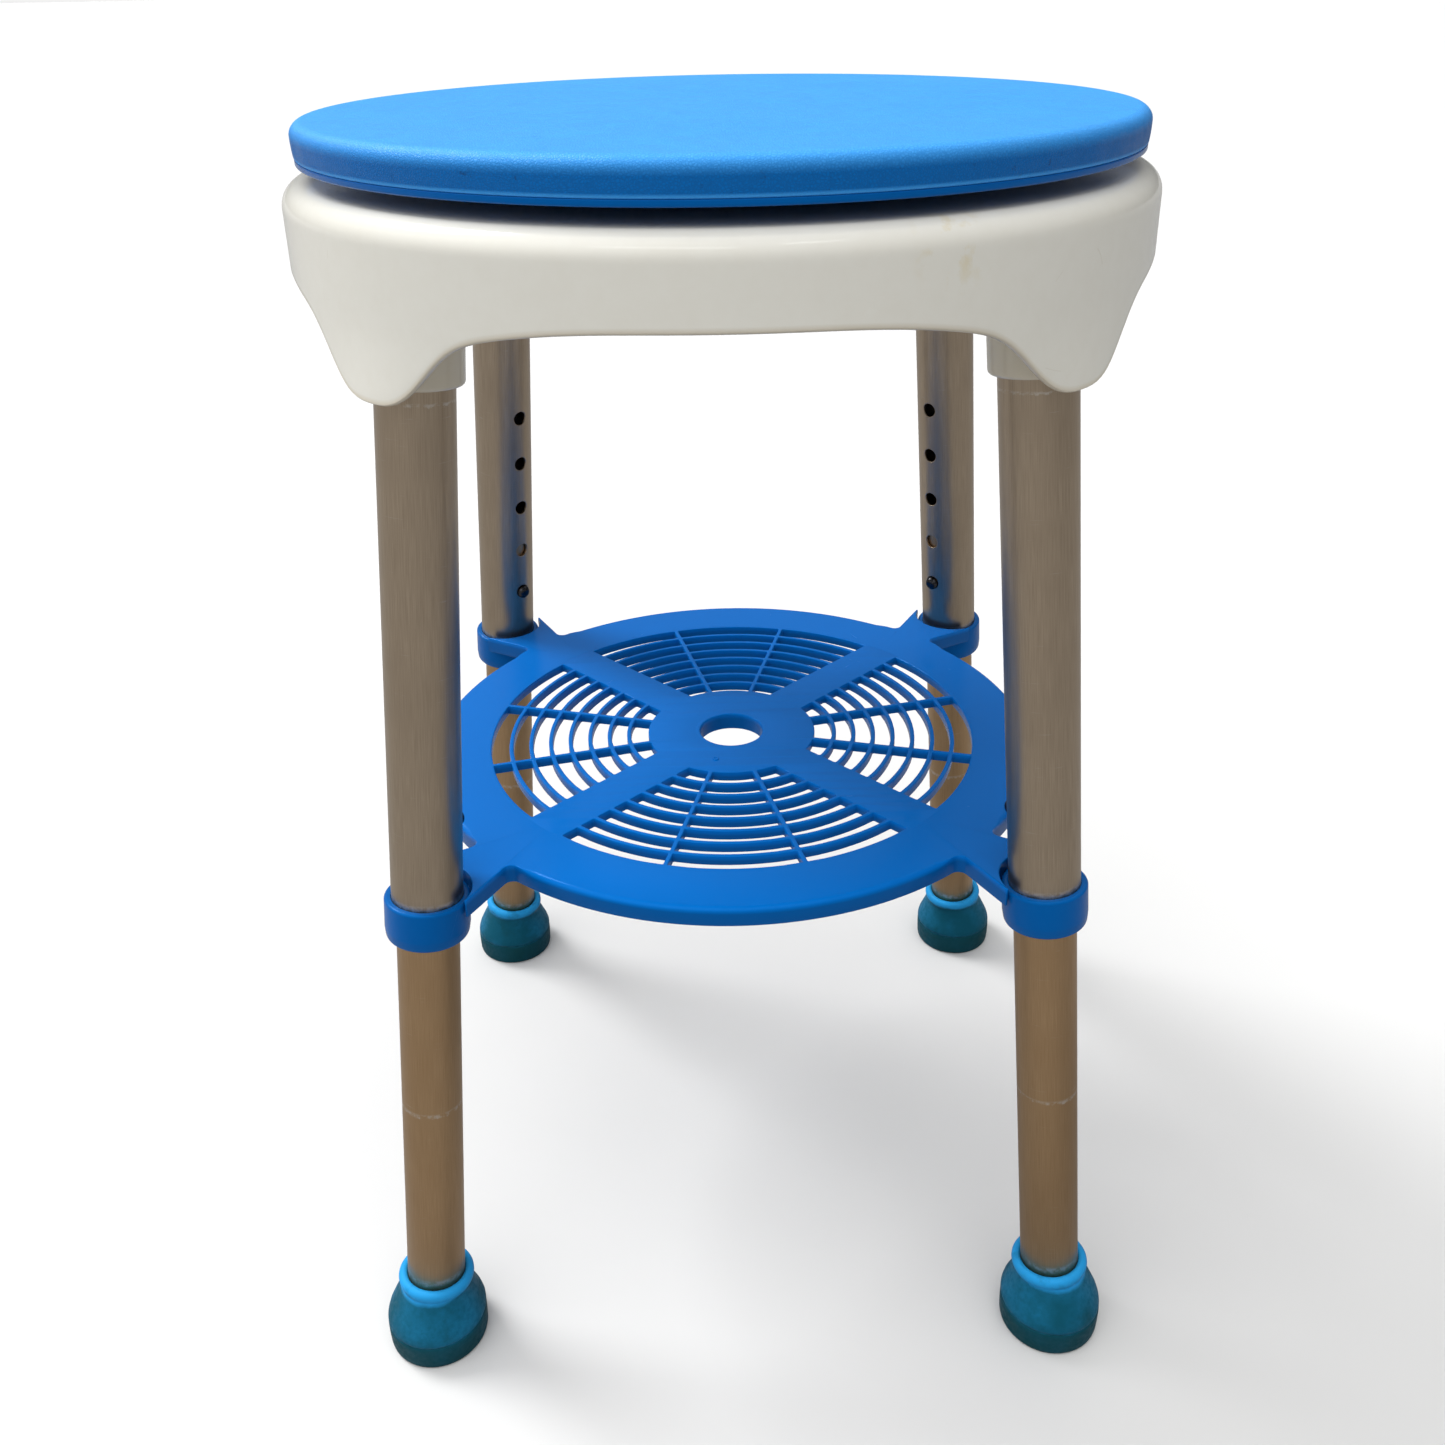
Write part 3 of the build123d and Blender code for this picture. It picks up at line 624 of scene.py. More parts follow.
def baseShellPatches():
    # every turn of the wall is one closed outline; only its skirt changes, with the angle to the nearest leg
    low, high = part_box("seat_base")
    radius, top, lobeBottom = high.x, high.z, low.z
    angle = np.linspace(0, 2 * np.pi, base["segments"], endpoint=False)
    fromLeg = np.abs((np.degrees(angle) % 90) - 45)
    # the lower edge drops about each leg: a blunt bell for the lobe on a wider one for its flanks
    bell = sum(part * np.exp(-(fromLeg / width) ** power)
               for part, width, power in (base["lobe"], base["flank"]))
    edge = base["midBottom"] - (base["midBottom"] - lobeBottom) * bell
    wall, deck, bead = base["wall"], top - base["wall"], base["bead"]
    share = np.linspace(0, 1, 14)
    skirtTop = top - base["shoulder"] - 1 * mm

    def swell(height):
        # lobes lean out with their leg: nothing at mid skirt, the full bulge at the lobe's foot
        drop = np.clip((base["bulgeTop"] - height) / (base["bulgeTop"] - lobeBottom), 0, 1)
        return base["lobeBulge"] * drop ** 1.5 * np.exp(-(fromLeg[:, None] / base["bulgeWidth"]) ** 2)

    def column(radii, heights):
        return np.stack([np.broadcast_to(radii, (len(angle), radii.shape[-1])),
                         np.broadcast_to(heights, (len(angle), heights.shape[-1]))], -1)

    fixedInner = roundCorners(
        [(base["bore"], base["bossBottom"]), (base["bore"], base["wellFloor"]),
         (base["wellRadius"], base["wellFloor"]), (base["wellRadius"], top), (radius, top),
         (radius, skirtTop)], [0.3 * mm, 0.3 * mm, 1.5 * mm, 0.8 * mm, base["shoulder"], 0], 12)[:-1]
    outerHeights = skirtTop + (edge[:, None] + bead - skirtTop) * share
    outer = column(radius + swell(outerHeights), outerHeights)
    # rounded lower lip, thicker than the wall by a slight bead
    turn = np.linspace(0, np.pi, 9)[1:-1]
    lipHeights = edge[:, None] + bead - bead * np.sin(turn)
    lipRadii = radius - wall / 2 + wall / 2 * np.cos(turn) + swell(edge[:, None] + 0 * turn)
    lip = column(lipRadii, lipHeights)
    innerHeights = edge[:, None] + bead + (base["innerTop"] - edge[:, None] - bead) * share
    inner = column(radius - wall + swell(innerHeights), innerHeights)
    fixedUnder = roundCorners(
        [(radius - wall - 2 * mm, deck), (base["wellRadius"] + wall, deck),
         (base["wellRadius"] + wall, base["wellFloor"] - wall),
         (base["bossRadius"], base["wellFloor"] - wall),
         (base["bossRadius"], base["bossBottom"])], [3 * mm, 1 * mm, 1 * mm, 1 * mm, 0.8 * mm], 5)
    parts = [np.broadcast_to(fixedInner, (len(angle),) + fixedInner.shape), outer, lip, inner,
             np.broadcast_to(fixedUnder, (len(angle),) + fixedUnder.shape)]
    profile = np.concatenate(parts, axis=1)
    x = profile[..., 0] * np.cos(angle)[:, None]
    y = profile[..., 0] * np.sin(angle)[:, None]
    uv = np.stack([np.broadcast_to(angle[:, None], x.shape), profile[..., 1] - edge[:, None]], -1)
    return [grid(np.stack([x, y, profile[..., 1]], -1), wrapRows=True, wrapColumns=True, uv=uv)]


def paintedShadeCoords(points):
    # sleeves and ribs stand in shade under the deck: their flat coordinates put them below the lip, so they take
    # its beige as painted shade
    return np.broadcast_to([0.0, -1 * mm], points.shape[:2] + (2,))


def socketPatches():
    # a sleeve around each tube, from under the deck down to just above the lobe's foot
    patches = []
    top, bottom = base["socketTop"] * stretch, base["socketBottom"] * stretch
    outline = [(base["tubeRadius"], top), (base["tubeRadius"], bottom), (base["socketRadius"], bottom),
               (base["socketRadius"], top)]
    profile = roundCorners(outline, [0, 0.6 * mm, 1.6 * mm, 0], 5)
    for corner in corners:
        points = legRevolve(corner, profile)
        patches.append(grid(points, wrapRows=True, wrapColumns=True, uv=paintedShadeCoords(points)))
    return patches


def ribPatches():
    # upright ribs from the middle boss to each socket, under the well's floor and then under the deck
    patches = []
    half, drop = base["ribHalf"], base["ribBottom"]
    underWell, underDeck = base["wellFloor"] - base["ribGap"], base["ribTop"]
    step = base["wellRadius"] + base["wall"] / 2
    for sideX, sideY in corners.values():
        along = np.array([sideX, sideY, 0]) / math.sqrt(2)
        across = np.array([-along[1], along[0], 0])
        stops = [(base["bossRadius"] - 2 * mm, underWell), (step, underWell), (step + 0.2 * mm, underDeck),
                 (legReach(0.486) - base["socketRadius"] + 1.5 * mm, underDeck)]
        rings = []
        for reach, top in stops:
            section = roundCorners([(-half, top), (-half, drop), (half, drop), (half, top)],
                                   [0, 0.8 * mm, 0.8 * mm, 0], 4)
            rings.append(reach * along + section[:, 0, None] * across
                         + section[:, 1, None] * np.array([0, 0, 1]))
        rings = [rings[0].mean(0) + 0 * rings[0]] + rings + [rings[-1].mean(0) + 0 * rings[-1]]
        rings = np.stack(rings)
        patches.append(grid(rings, wrapColumns=True, uv=paintedShadeCoords(rings)))
    return patches


makePiece("seatBase", baseShellPatches() + socketPatches() + ribPatches(), materials["white_plastic"],
          "frame", ["seat_base"])
print("base done")


# Legs

tube = {"outerRadius": 14.3 * mm, "outerWall": 1.3 * mm, "innerRadius": 12.7 * mm, "innerWall": 1.2 * mm,
        "edgeRound": 0.25 * mm, "holeRadius": 3.58 * mm, "holePitch": 25 * mm, "holeCount": 5,
        "cell": 6.0 * mm, "around": 60, "perSide": 8}


def holeCell(centre, cell, perSide):
    # rings of points from a round hole out to the square around it, before they are wrapped onto the tube
    side = np.linspace(-1, 1, perSide + 1)[:-1]
    one = np.ones(perSide)
    square = np.concatenate([np.stack([one, side], -1), np.stack([-side, one], -1),
                             np.stack([-one, -side], -1), np.stack([side, -one], -1)]) * cell
    angle = np.arctan2(square[:, 1], square[:, 0])
    circle = tube["holeRadius"] * np.stack([np.cos(angle), np.sin(angle)], -1)
    blend = np.array([0, 0.12, 0.35, 0.65, 1.0])[:, None, None]
    flat = circle * (1 - blend) + square * blend
    return flat[..., 0], flat[..., 1] + centre


def tubePatches(corner, radius, bottom, top, holes):
    # the tube's outer face, with square cells cut out for the holes on its inner side
    leg = legs[corner]
    cell, perSide = tube["cell"], tube["perSide"]
    edge = math.asin(cell / radius)

    def wrapped(angle, along):
        basis = leg["basis"]
        ring = np.cos(angle)[..., None] * basis[:, 0] + np.sin(angle)[..., None] * basis[:, 1]
        return leg["floor"] + radius * ring + along[..., None] * basis[:, 2]

    def patch(angle, along, closed=False):
        uv = np.stack([angle / (2 * np.pi), along], -1)
        return grid(wrapped(angle, along), wrapColumns=closed, uv=uv)

    # levels: every cell's own divisions, and plain runs between them
    levels, cuts = [], []
    at = bottom
    for hole in holes:
        levels.append(np.linspace(at, hole - cell, 4)[:-1])
        cuts.append((at, hole - cell))
        levels.append(np.linspace(hole - cell, hole + cell, perSide + 1)[:-1])
        at = hole + cell
    levels.append(np.linspace(at, top, 9))
    cuts.append((at, top))
    levels = np.concatenate(levels)
    sweep = np.linspace(edge, 2 * np.pi - edge, tube["around"])
    patches = [patch(*np.meshgrid(sweep, levels))]
    strip = np.arcsin(np.linspace(-cell, cell, perSide + 1) / radius)
    for low, high in cuts:
        rows = levels[(levels > low - 1e-9) & (levels < high + 1e-9)]
        patches.append(patch(*np.meshgrid(strip, rows)))
    for hole in holes:
        x, along = holeCell(hole, cell, perSide)
        patches.append(patch(np.arcsin(x / radius), along, closed=True))
    return patches


def thicken(piece, wall, roundEdge):
    # wall inwards from the outer face, then the rims and hole edges broken
    solid = piece.modifiers.new("wall", "SOLIDIFY")
    solid.thickness = wall
    solid.offset = -1
    solid.use_even_offset = True
    soft = piece.modifiers.new("brokenEdges", "BEVEL")
    soft.width = roundEdge
    soft.segments = 2
    soft.limit_method = "ANGLE"
    soft.angle_limit = math.radians(50)


def tubeEnds(node, radius):
    # distances up the leg of a tube's two ends, from the height of its slanted box
    low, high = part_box(node)
    up = 1 / stretch
    span = (high.z - low.z - 2 * radius * math.sqrt(1 - up * up)) * stretch
    middle = (high.z + low.z) / 2 * stretch
    return middle - span / 2, middle + span / 2


def holeLevels(corner):
    # the button sits in the lowest hole; the others follow at the pitch up the leg
    low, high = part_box(f"snap_button_{corner}")
    leg = legs[corner]
    middle = np.array((low + high) / 2) - leg["floor"]
    first = float(middle @ leg["basis"][:, 2])
    return [first + step * tube["holePitch"] for step in range(tube["holeCount"])]


def turnOutward(piece, corner):
    # an open sheet has no inside, so its faces are turned to look away from the leg's axis
    leg = legs[corner]
    mesh = piece.data
    face = mesh.polygons[0]
    out = np.array(face.center) - leg["floor"]
    out = out - leg["basis"][:, 2] * (out @ leg["basis"][:, 2])
    if np.dot(out, face.normal) < 0:
        mesh.flip_normals()


for corner in corners:
    outerHoles = holeLevels(corner)
    for part, radius, wall, holes, finish, body in (
            ("upper_leg", tube["outerRadius"], tube["outerWall"], outerHoles, "leg_aluminium", "frame"),
            ("lower_leg", tube["innerRadius"], tube["innerWall"], outerHoles[:1], "inner_aluminium",
             f"lower_leg_{corner}")):
        node = f"{part}_{corner}"
        bottom, top = tubeEnds(node, radius)
        patches = tubePatches(corner, radius, bottom, top, holes)
        piece = makePiece(node.replace("_leg", "Tube"), patches, materials[finish], body, [node])
        turnOutward(piece, corner)
        thicken(piece, wall, tube["edgeRound"])
print("tubes done")


# Collars

collar = {"radius": 17.15 * mm, "tubeRadius": 14.35 * mm, "innerTube": 12.78 * mm, "bottom": 214 * mm,
          "top": collarTop, "tubeEnd": 216.5 * mm, "lug": (30.3 * mm, 15.6 * mm), "lugHalf": 5.5 * mm,
          "lugDrop": (5.1 * mm, 0.1 * mm), "lugRound": 1.5 * mm, "peg": 24.15 * mm, "pegRadius": 3 * mm,
          "pegSpan": (-1 * mm, 4.1 * mm), "pegRound": 0.9 * mm}


def roundedBlock(low, high, basis, radius):
    # a block with rounded upright edges: one rounded outline carried up and closed at both ends
    outline = roundCorners([(low[0], low[1]), (high[0], low[1]), (high[0], high[1]), (low[0], high[1])],
                           [radius] * 4, 5)
    middle = np.broadcast_to(outline.mean(0), outline.shape)
    inset = 0.5 * mm
    shrunk = middle + (outline - middle) * (1 - inset / np.abs(outline - middle).max())
    rings = [(middle, low[2]), (shrunk, low[2]), (outline, low[2] + inset), (outline, high[2] - inset),
             (shrunk, high[2]), (middle, high[2])]
    return np.stack([ring[:, 0, None] * basis[0] + ring[:, 1, None] * basis[1]
                     + np.array([0, 0, height]) for ring, height in rings])


def collarPatches(corner):
    sideX, sideY = corners[corner]
    bottom, top = collar["bottom"] * stretch, collar["top"] * stretch
    radius, tubeEnd = collar["radius"], collar["tubeEnd"] * stretch
    outline = [(collar["innerTube"], bottom), (radius - 0.6 * mm, bottom), (radius, bottom + 5 * mm),
               (radius, top), (collar["tubeRadius"], top), (collar["tubeRadius"], tubeEnd),
               (collar["innerTube"], tubeEnd)]
    profile = roundCorners(outline, [0.3 * mm, 2.2 * mm, 3 * mm, 1.3 * mm, 0.5 * mm, 0, 0], 6)
    patches = [grid(legRevolve(corner, profile), wrapRows=True, wrapColumns=True)]
    outward = np.array([sideX, sideY, 0]) / math.sqrt(2)
    across = np.array([-outward[1], outward[0], 0])
    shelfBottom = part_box("shelf")[0].z
    reach = legReach(shelfBottom)
    (lugIn, lugOut), (lugDeep, lugGap) = collar["lug"], collar["lugDrop"]
    lug = roundedBlock((reach - lugIn, -collar["lugHalf"], shelfBottom - lugDeep),
                       (reach - lugOut, collar["lugHalf"], shelfBottom - lugGap), (outward, across),
                       collar["lugRound"])
    patches.append(grid(lug, wrapColumns=True))
    pegRadius = collar["pegRadius"]
    pegBase, pegTop = shelfBottom + collar["pegSpan"][0], shelfBottom + collar["pegSpan"][1]
    peg = roundCorners([(0, pegBase), (pegRadius, pegBase), (pegRadius, pegTop), (0, pegTop)],
                       [0, 0, collar["pegRound"], 0], 4)
    centre = outward * (reach - collar["peg"])
    patches.append(grid(revolve(peg, centre, segments=40), wrapColumns=True))
    return patches


for corner in corners:
    makePiece(f"legCollar_{corner}", collarPatches(corner), materials["collar_plastic"], "frame",
              [f"leg_collar_{corner}"])
print("collars done")


# Shelf

# angles are in degrees, but filletRoom is in radians. The rim's large round begins at the first angle of
# roundStart from an arm's middle and grows over the second; gather is how closely an arm's points are
# drawn together over the grille's edge and at the rim's inner wall.
shelf = {"radius": 142 * mm, "hubHole": 15 * mm, "grilleInner": 40 * mm, "grilleOuter": 114.5 * mm,
         "bars": 7, "bar": 2.0 * mm, "spoke": 21 * mm, "rib": 14.6, "round": 0.5 * mm, "slotPoints": 14,
         "armRoot": (139 * mm, 9.3 * mm), "armEndHalf": 18.2 * mm, "armSetback": 6 * mm,
         "armLevel": 230 * mm, "armGap": 1.05 * mm, "tipRound": 0.4 * mm, "armFillet": 3.5 * mm,
         "filletRoom": 0.045, "rimPoints": 60, "sidePoints": 6, "plate": 4.6 * mm, "rimWall": 3.2 * mm,
         "rimRound": 2.7 * mm, "roundStart": (6.6, 3.0), "ringInset": 1.7 * mm, "plateReach": 2.5 * mm,
         "gather": (3 * mm, 9 * mm), "bossRadius": 18.5 * mm, "bossCover": 2.3 * mm,
         "hubReach": 1.5 * mm, "pip": (-7.8 * mm, -27.5 * mm), "pipRadius": 1.5 * mm, "overlap": 0.02 * mm}


def arc(radius, start, end, count, centre=(0.0, 0.0)):
    angle = np.linspace(start, end, count)
    return np.stack([centre[0] + radius * np.cos(angle), centre[1] + radius * np.sin(angle)], -1)


def turned(points, angle):
    cos, sin = math.cos(angle), math.sin(angle)
    return points @ np.array([[cos, sin], [-sin, cos]])


def shelfOutline():
    # a disc with four arms; each arm widens towards its end, where a hollow takes the collar
    reach = legReach(shelf["armLevel"])
    hollow = collar["radius"] + shelf["armGap"]
    rootAlong, rootHalf = shelf["armRoot"]
    end = reach - shelf["armSetback"]
    slope = (shelf["armEndHalf"] - rootHalf) / (end - rootAlong)
    # the arm's side meets the rim where its line crosses the circle: the larger root of the quadratic
    offset = rootHalf - slope * rootAlong
    square, linear = 1 + slope ** 2, slope * offset
    rest = offset ** 2 - shelf["radius"] ** 2
    joinAlong = (-linear + math.sqrt(linear ** 2 - square * rest)) / square
    join = np.array([joinAlong, offset + slope * joinAlong])
    joinAngle = math.atan2(join[1], join[0])
    open_ = math.acos(shelf["armSetback"] / hollow)
    hollowEnd = arc(hollow, math.pi - open_, math.pi + open_, 25, (reach, 0.0))[::-1]
    tip = np.array([end, shelf["armEndHalf"]])
    flip = np.array([1, -1])
    arm = np.concatenate([[join * flip, tip * flip], hollowEnd, [tip, join]])
    root, point = shelf["armFillet"], shelf["tipRound"]
    radii = [root, point] + [0] * len(hollowEnd) + [point, root]
    clear = shelf["filletRoom"]  # radians of rim left free on each side of an arm for its fillet
    parts, rounds = [], []
    for quarter in range(4):
        turn = math.radians(45 + 90 * quarter)
        rim = arc(shelf["radius"], turn + joinAngle + clear, turn + math.pi / 2 - joinAngle - clear,
                  shelf["rimPoints"])
        parts += [turned(arm, turn), rim]
        rounds += radii + [0] * len(rim)
    return roundCorners(np.concatenate(parts), rounds, 5)


def slotOutline(inner, outer, leftSide, rightSide):
    # one slot between two bars: its sides are where each arc meets a rib's or spoke's edge
    corner, count = shelf["round"] * 1.1, shelf["slotPoints"]

    def meet(radius, side):
        direction, offset = side
        # the point at this radius on the line that runs along direction, shifted sideways by offset
        return direction + math.asin(offset / radius)

    inside = arc(inner, meet(inner, leftSide), meet(inner, rightSide), count)
    outside = arc(outer, meet(outer, rightSide), meet(outer, leftSide), count)
    ends = np.array([inside[0], inside[-1], outside[0], outside[-1]])
    trimmed = roundCorners(ends, [corner] * 4, 3)
    return np.concatenate([trimmed[:4], inside[2:-2], trimmed[4:12], outside[2:-2], trimmed[12:]])


def slotOutlines():
    pitch = (shelf["grilleOuter"] - shelf["grilleInner"]) / (shelf["bars"] + 1)
    half = shelf["bar"] / 2
    rib = math.radians(shelf["rib"])
    slots = []
    for quarter in range(4):
        middle = math.radians(90 * quarter)
        spokeLeft = (middle - math.pi / 4, shelf["spoke"] / 2)
        spokeRight = (middle + math.pi / 4, -shelf["spoke"] / 2)
        sides = [(spokeLeft, (middle - rib, -half)), ((middle - rib, half), (middle + rib, -half)),
                 ((middle + rib, half), spokeRight)]
        for row in range(shelf["bars"] + 1):
            inner = shelf["grilleInner"] + row * pitch + (half if row else 0)
            outer = shelf["grilleInner"] + (row + 1) * pitch - (half if row < shelf["bars"] else 0)
            slots += [slotOutline(inner, outer, left, right) for left, right in sides]
    return slots


def platePiece(name, outlines, low, high, roundEdge):
    # a flat plate with holes: filled outlines given thickness and rounded edges
    curve = bpy.data.curves.new(name, "CURVE")
    curve.dimensions = "2D"
    curve.fill_mode = "BOTH"
    curve.extrude = (high - low) / 2 - roundEdge
    curve.bevel_depth = roundEdge
    curve.bevel_resolution = 2
    curve.offset = -roundEdge
    for outline in outlines:
        spline = curve.splines.new("POLY")
        spline.points.add(len(outline) - 1)
        flat = np.column_stack([outline, np.zeros(len(outline)), np.ones(len(outline))])
        spline.points.foreach_set("co", flat.ravel())
        spline.use_cyclic_u = True
    holder = bpy.data.objects.new(name, curve)
    bpy.context.scene.collection.objects.link(holder)
    mesh = bpy.data.meshes.new_from_object(holder.evaluated_get(bpy.context.evaluated_depsgraph_get()))
    bpy.data.objects.remove(holder)
    mesh.transform(Matrix.Translation((0, 0, (low + high) / 2)))
    return mesh


def rimPatch(low, high):
    # the rim and arms: the outline, drawn in by each row's inset, with a large round on the rim
    # and a small one on the arms; within, it ends on a circle over the edge of the grille plate
    outline = shelfOutline()
    angle = np.arctan2(outline[:, 1], outline[:, 0])
    fromArm = np.abs((np.degrees(angle) % 90) - 45)
    tangent = np.roll(outline, -1, axis=0) - np.roll(outline, 1, axis=0)
    tangent /= np.linalg.norm(tangent, axis=1, keepdims=True)
    inward = np.stack([-tangent[:, 1], tangent[:, 0]], -1)
    start, blend = shelf["roundStart"]
    share = np.clip((fromArm - start) / blend, 0, 1)
    softening = shelf["round"] + (shelf["rimRound"] - shelf["round"]) * share ** 2 * (3 - 2 * share)

    # an arm's points are gathered into the spoke behind it, so that no face crosses its side
    quarter, side = len(outline) // 4, shelf["sidePoints"]
    armCount = quarter - shelf["rimPoints"]
    lateral = np.concatenate([np.linspace(-1, -0.76, side), np.linspace(-0.6, -0.52, side),
                              np.linspace(-0.5, 0.5, armCount - 4 * side),
                              np.linspace(0.52, 0.6, side), np.linspace(0.76, 1, side)])
    lateral = np.tile(np.concatenate([lateral, np.zeros(shelf["rimPoints"])]), 4)
    onArm = np.arange(len(outline)) % quarter < armCount
    armAngle = np.radians(45 + 90 * (np.arange(len(outline)) // quarter))

    def circle(radius, armHalf):
        turn = np.where(onArm, armAngle + armHalf / radius * lateral, angle)
        return radius * np.stack([np.cos(turn), np.sin(turn)], -1)

    def row(points, height):
        return np.column_stack([points, np.broadcast_to(height, len(points))])

    inner = circle(shelf["grilleOuter"] + shelf["ringInset"], shelf["gather"][0])
    pocket = circle(shelf["radius"] - shelf["rimWall"], shelf["gather"][1])
    under = high - shelf["plate"]
    rows = [row(inner, high)]
    for turn in np.linspace(0, math.pi / 2, 8):
        inset = softening * (1 - math.sin(turn))
        rows.append(row(outline + inward * inset[:, None], high - softening * (1 - math.cos(turn))))
    for turn in np.linspace(0, math.pi / 2, 4):
        inset = shelf["round"] * (1 - math.cos(turn))
        rows.append(row(outline + inward * inset, low + shelf["round"] * (1 - math.sin(turn))))
    rows += [row(pocket, low), row(pocket, under), row(inner, under)]
    return grid(np.stack(rows), wrapRows=True, wrapColumns=True)


def hubPatches(low, high):
    # the boss around the hub hole, and the moulding's small ringed gate mark beside it
    hole, boss = shelf["hubHole"], shelf["bossRadius"]
    cover = hole + shelf["bossCover"]
    under = high - shelf["plate"] - 0.1 * mm
    outline = [(hole, low), (boss, low), (boss, under), (cover, under), (cover, high), (hole, high)]
    ring = roundCorners(outline, [0.6 * mm, 0.6 * mm, 0, 0, 0, 0.9 * mm], 5)
    pip, base = shelf["pipRadius"], high - 0.5 * mm
    mark = roundCorners([(0, base), (pip, base), (pip, high + 0.35 * mm), (0.5 * pip, high + 0.35 * mm),
                         (0.4 * pip, high + 0.05 * mm), (0, high + 0.05 * mm)],
                        [0, 0, 0.3 * mm, 0.2 * mm, 0, 0], 3)
    return [grid(revolve(ring, segments=96), wrapRows=True, wrapColumns=True),
            grid(revolve(mark, (*shelf["pip"], 0), segments=24), wrapColumns=True)]


shelfLow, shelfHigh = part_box("shelf")
plateEdge = arc(shelf["grilleOuter"] + shelf["plateReach"], 0, 2 * math.pi, 241)[:-1]
hubEdge = arc(shelf["hubHole"] + shelf["hubReach"], 0, 2 * math.pi, 73)[:-1]
plateMesh = platePiece("grille", [plateEdge, hubEdge] + slotOutlines(),
                       shelfHigh.z - shelf["plate"] + shelf["overlap"], shelfHigh.z - shelf["overlap"],
                       shelf["round"])
rimMesh = patchMesh("shelfPlate", [rimPatch(shelfLow.z, shelfHigh.z)] + hubPatches(shelfLow.z, shelfHigh.z))
finishPiece("shelfPlate", [rimMesh, plateMesh], materials["shelf_plastic"], "shelf", ["shelf"],
            30, 0.001 * mm)
print("shelf done")


# Feet

foot = {"crease": 12.8 * mm, "segments": 96, "rings": [
    # height and radius in mm, and how far the ring has turned square to the leg
    (0.6, 0.0, 0), (0.6, 6.0, 0), (0.0, 6.6, 0), (0.0, 9.0, 0), (0.9, 9.6, 0), (0.9, 11.4, 0),
    (0.0, 12.0, 0), (0.0, 14.6, 0), (0.9, 15.2, 0), (0.9, 16.8, 0), (0.0, 17.4, 0), (0.0, 20.4, 0),
    (0.3, 21.2, 0), (1.0, 21.7, 0), (2.2, 21.95, 0), (5.0, 22.1, 0), (9.0, 22.2, 0), (11.6, 22.15, 0),
    (12.3, 21.95, 0), (12.75, 21.6, 0), (13.2, 21.95, 0), (14.0, 22.1, 0.1), (15.2, 21.95, 0.2),
    (17.5, 21.3, 0.4), (20.0, 20.2, 0.6), (22.5, 19.1, 0.8), (25.0, 18.0, 0.9), (27.5, 17.0, 1),
    (29.5, 16.3, 1), (31.0, 15.9, 1), (31.8, 15.95, 1), (32.4, 16.3, 1), (33.2, 16.6, 1),
    (34.2, 16.75, 1), (35.2, 16.6, 1), (36.1, 16.1, 1), (36.7, 15.3, 1), (36.9, 14.4, 1),
    (36.7, 13.6, 1), (36.2, 13.0, 1), (35.4, 12.75, 1), (30.0, 12.75, 1), (20.0, 12.75, 1),
    (9.0, 12.75, 1), (9.0, 0.0, 1)]}


def footPatches(corner):
    # rings stacked up the leg: level at the floor, square to the leg from the bell upwards
    leg = legs[corner]
    rings = np.array(foot["rings"])
    heights, radii, turn = rings[:, 0] * mm, rings[:, 1] * mm, rings[:, 2]
    angle = np.linspace(0, 2 * np.pi, foot["segments"], endpoint=False)
    level = np.array([leg["basis"][0, 0], leg["basis"][1, 0], 0])
    level = level / np.linalg.norm(level)
    across = np.cross([0, 0, 1], level)
    first = level * (1 - turn[:, None]) + leg["basis"][:, 0] * turn[:, None]
    first = first / np.linalg.norm(first, axis=1, keepdims=True)
    # below the crease the rings keep one centre, so the sole stands upright
    centreHeight = np.where(turn > 0, heights, foot["crease"])
    centre = leg["floor"] + np.array(leg["up"]) * (centreHeight[:, None] * stretch)
    centre[:, 2] = heights
    points = (centre[:, None] + radii[:, None, None] * (np.cos(angle)[None, :, None] * first[:, None]
              + np.sin(angle)[None, :, None] * across))
    return [grid(points, wrapColumns=True)]


for corner in corners:
    makePiece(f"rubberFoot_{corner}", footPatches(corner), materials["foot_rubber"], f"lower_leg_{corner}",
              [f"rubber_foot_{corner}"], 40)
print("feet done")


# Floor, light and camera

studio = {"floor": rgb(0.30, 0.30, 0.298), "floorShown": rgb(0.74, 0.74, 0.735), "floorSize": 80.0,
          "horizon": 0.235, "overhead": 1.9, "rise": 2.0, "sideFall": 0.55, "backFall": 0.5,
          "backdrop": 0.88, "sun": ((0.75, -0.45, -1.0), 1.75, 22), "lit": (0, 0, 0.48),
          "softbox": ((-0.35, -1.1, 1.7), (0.9, 0.035), 1.1),
          "strip": ((0.5, -0.9, 1.9), (0.35, 0.03), 0.5)}


def addFloor():
    mesh = bpy.data.meshes.new("floor")
    half = studio["floorSize"] / 2
    mesh.from_pydata([(-half, -half, 0), (half, -half, 0), (half, half, 0), (-half, half, 0)], [],
                     [(0, 1, 2, 3)])
    floor = bpy.data.objects.new("floor", mesh)
    bpy.context.scene.collection.objects.link(floor)
    material, tree, shader = startMaterial("floorPaint", Roughness=0.65)[:3]
    seen = addNode(tree, "ShaderNodeLightPath").outputs["Is Camera Ray"]
    tree.links.new(mixColor(tree, seen, studio["floor"], studio["floorShown"]), shader.inputs["Base Color"])
    mesh.materials.append(material)


def addAreaLight(name, place, size, energy):
    # a rectangular light that faces the seat
    data = bpy.data.lights.new(name, "AREA")
    data.shape = "RECTANGLE"
    data.size, data.size_y = size
    data.energy = energy
    light = bpy.data.objects.new(name, data)
    light.location = place
    light.rotation_euler = (Vector(studio["lit"]) - Vector(place)).to_track_quat("-Z", "Y").to_euler()
    bpy.context.scene.collection.objects.link(light)


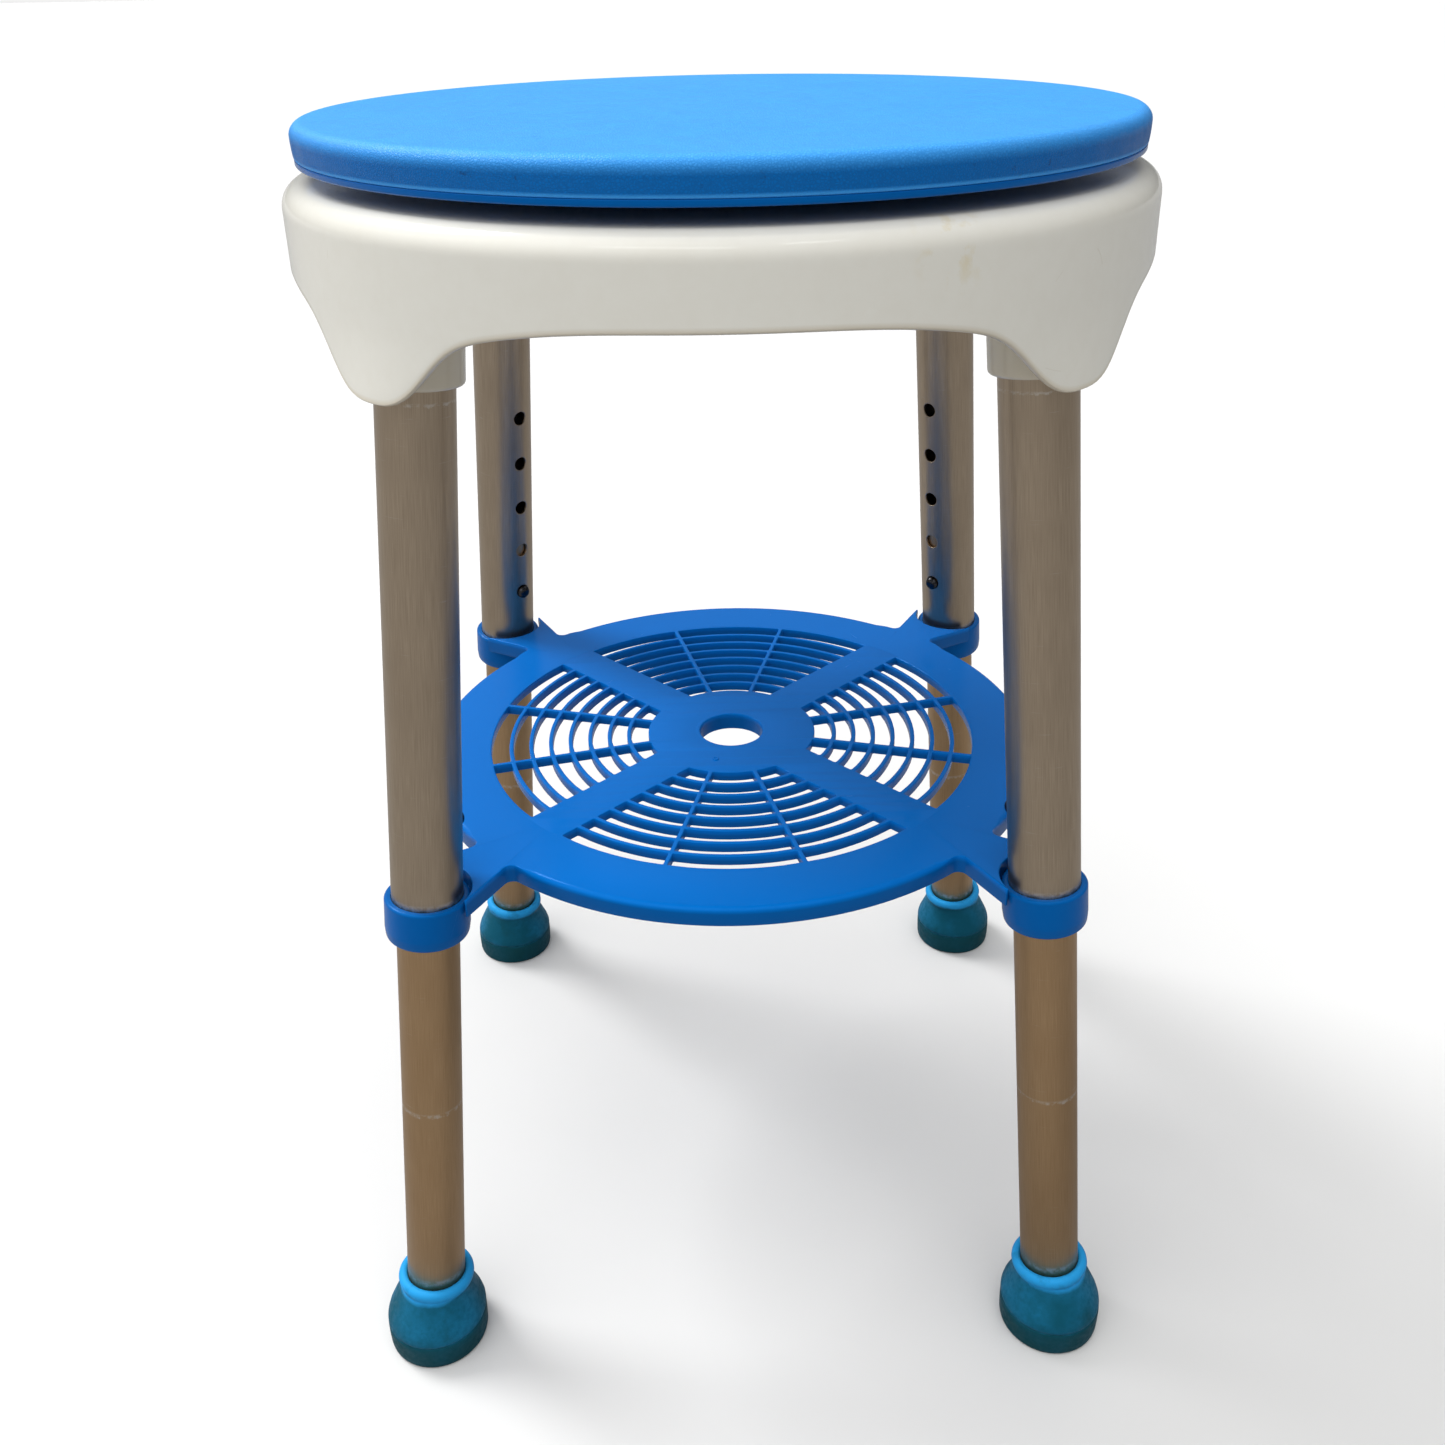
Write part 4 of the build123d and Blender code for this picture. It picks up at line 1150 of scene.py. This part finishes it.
def addSunLight(name, towards, energy, spread):
    # light from one direction over the whole stage; spread is its width in degrees
    data = bpy.data.lights.new(name, "SUN")
    data.energy, data.angle = energy, math.radians(spread)
    light = bpy.data.objects.new(name, data)
    light.rotation_euler = Vector(towards).to_track_quat("-Z", "Y").to_euler()
    bpy.context.scene.collection.objects.link(light)


def addSky():
    # a soft room: its brightness rises evenly from the horizon to overhead, before a plain backdrop
    world = bpy.data.worlds.new("studio")
    bpy.context.scene.world = world
    world.use_nodes = True
    tree = world.node_tree
    direction = addNode(tree, "ShaderNodeTexCoord").outputs["Generated"]
    split = addNode(tree, "ShaderNodeSeparateXYZ", links={0: direction}).outputs
    height = split["Z"]
    lifted = addNode(tree, "ShaderNodeMath", {1: 0.0}, {0: height}, operation="MAXIMUM").outputs[0]
    risen = addNode(tree, "ShaderNodeMath", {1: studio["rise"]}, {0: lifted}, operation="POWER").outputs[0]
    glow = addNode(tree, "ShaderNodeMapRange", {"To Min": studio["horizon"], "To Max": studio["overhead"]},
                   {"Value": risen}).outputs["Result"]
    # brighter towards the window's side and the front, darker away from them
    for axis, fall in (("X", studio["sideFall"]), ("Y", studio["backFall"])):
        leaning = addNode(tree, "ShaderNodeMapRange",
                          {"From Min": -1.0, "To Min": 1 + fall,
                          "To Max": 1 - fall}, {"Value": split[axis]})
        glow = times(tree, glow, leaning.outputs["Result"])
    seen = addNode(tree, "ShaderNodeLightPath").outputs["Is Camera Ray"]
    shown = addNode(tree, "ShaderNodeMix", {3: studio["backdrop"]}, {0: seen, 2: glow}).outputs[0]
    tree.links.new(shown, tree.nodes["Background"].inputs["Strength"])
    tree.nodes["Background"].inputs["Color"].default_value = rgb(1, 1, 1)


cameraSet = {"lens": 34.66, "sensor": 36.0, "place": (-0.0033, -0.5848, 0.5665), "pitch": 0.4442,
             "yaw": -0.0031, "roll": 0.0195, "shift": (-0.0027, -0.0656)}


def addCamera():
    data = bpy.data.cameras.new("camera")
    data.lens, data.sensor_width = cameraSet["lens"], cameraSet["sensor"]
    data.shift_x, data.shift_y = cameraSet["shift"]
    data.clip_start = 0.01
    pitch, yaw, roll = cameraSet["pitch"], cameraSet["yaw"], cameraSet["roll"]
    ahead = Vector((-math.sin(yaw) * math.cos(pitch), math.cos(yaw) * math.cos(pitch), -math.sin(pitch)))
    right = Vector((math.cos(yaw), math.sin(yaw), 0))
    down = ahead.cross(right)
    rolledRight = math.cos(roll) * right + math.sin(roll) * down
    rolledDown = math.cos(roll) * down - math.sin(roll) * right
    turn = Matrix((rolledRight, -rolledDown, -ahead)).transposed().to_4x4()
    camera = bpy.data.objects.new("camera", data)
    camera.matrix_world = Matrix.Translation(cameraSet["place"]) @ turn
    bpy.context.scene.collection.objects.link(camera)
    bpy.context.scene.camera = camera


addFloor()
addSky()
addSunLight("window", *studio["sun"])
for lamp in ("softbox", "strip"):
    addAreaLight(lamp, *studio[lamp])
addCamera()
bpy.context.scene.view_settings.view_transform = "Standard"
print("stage done")
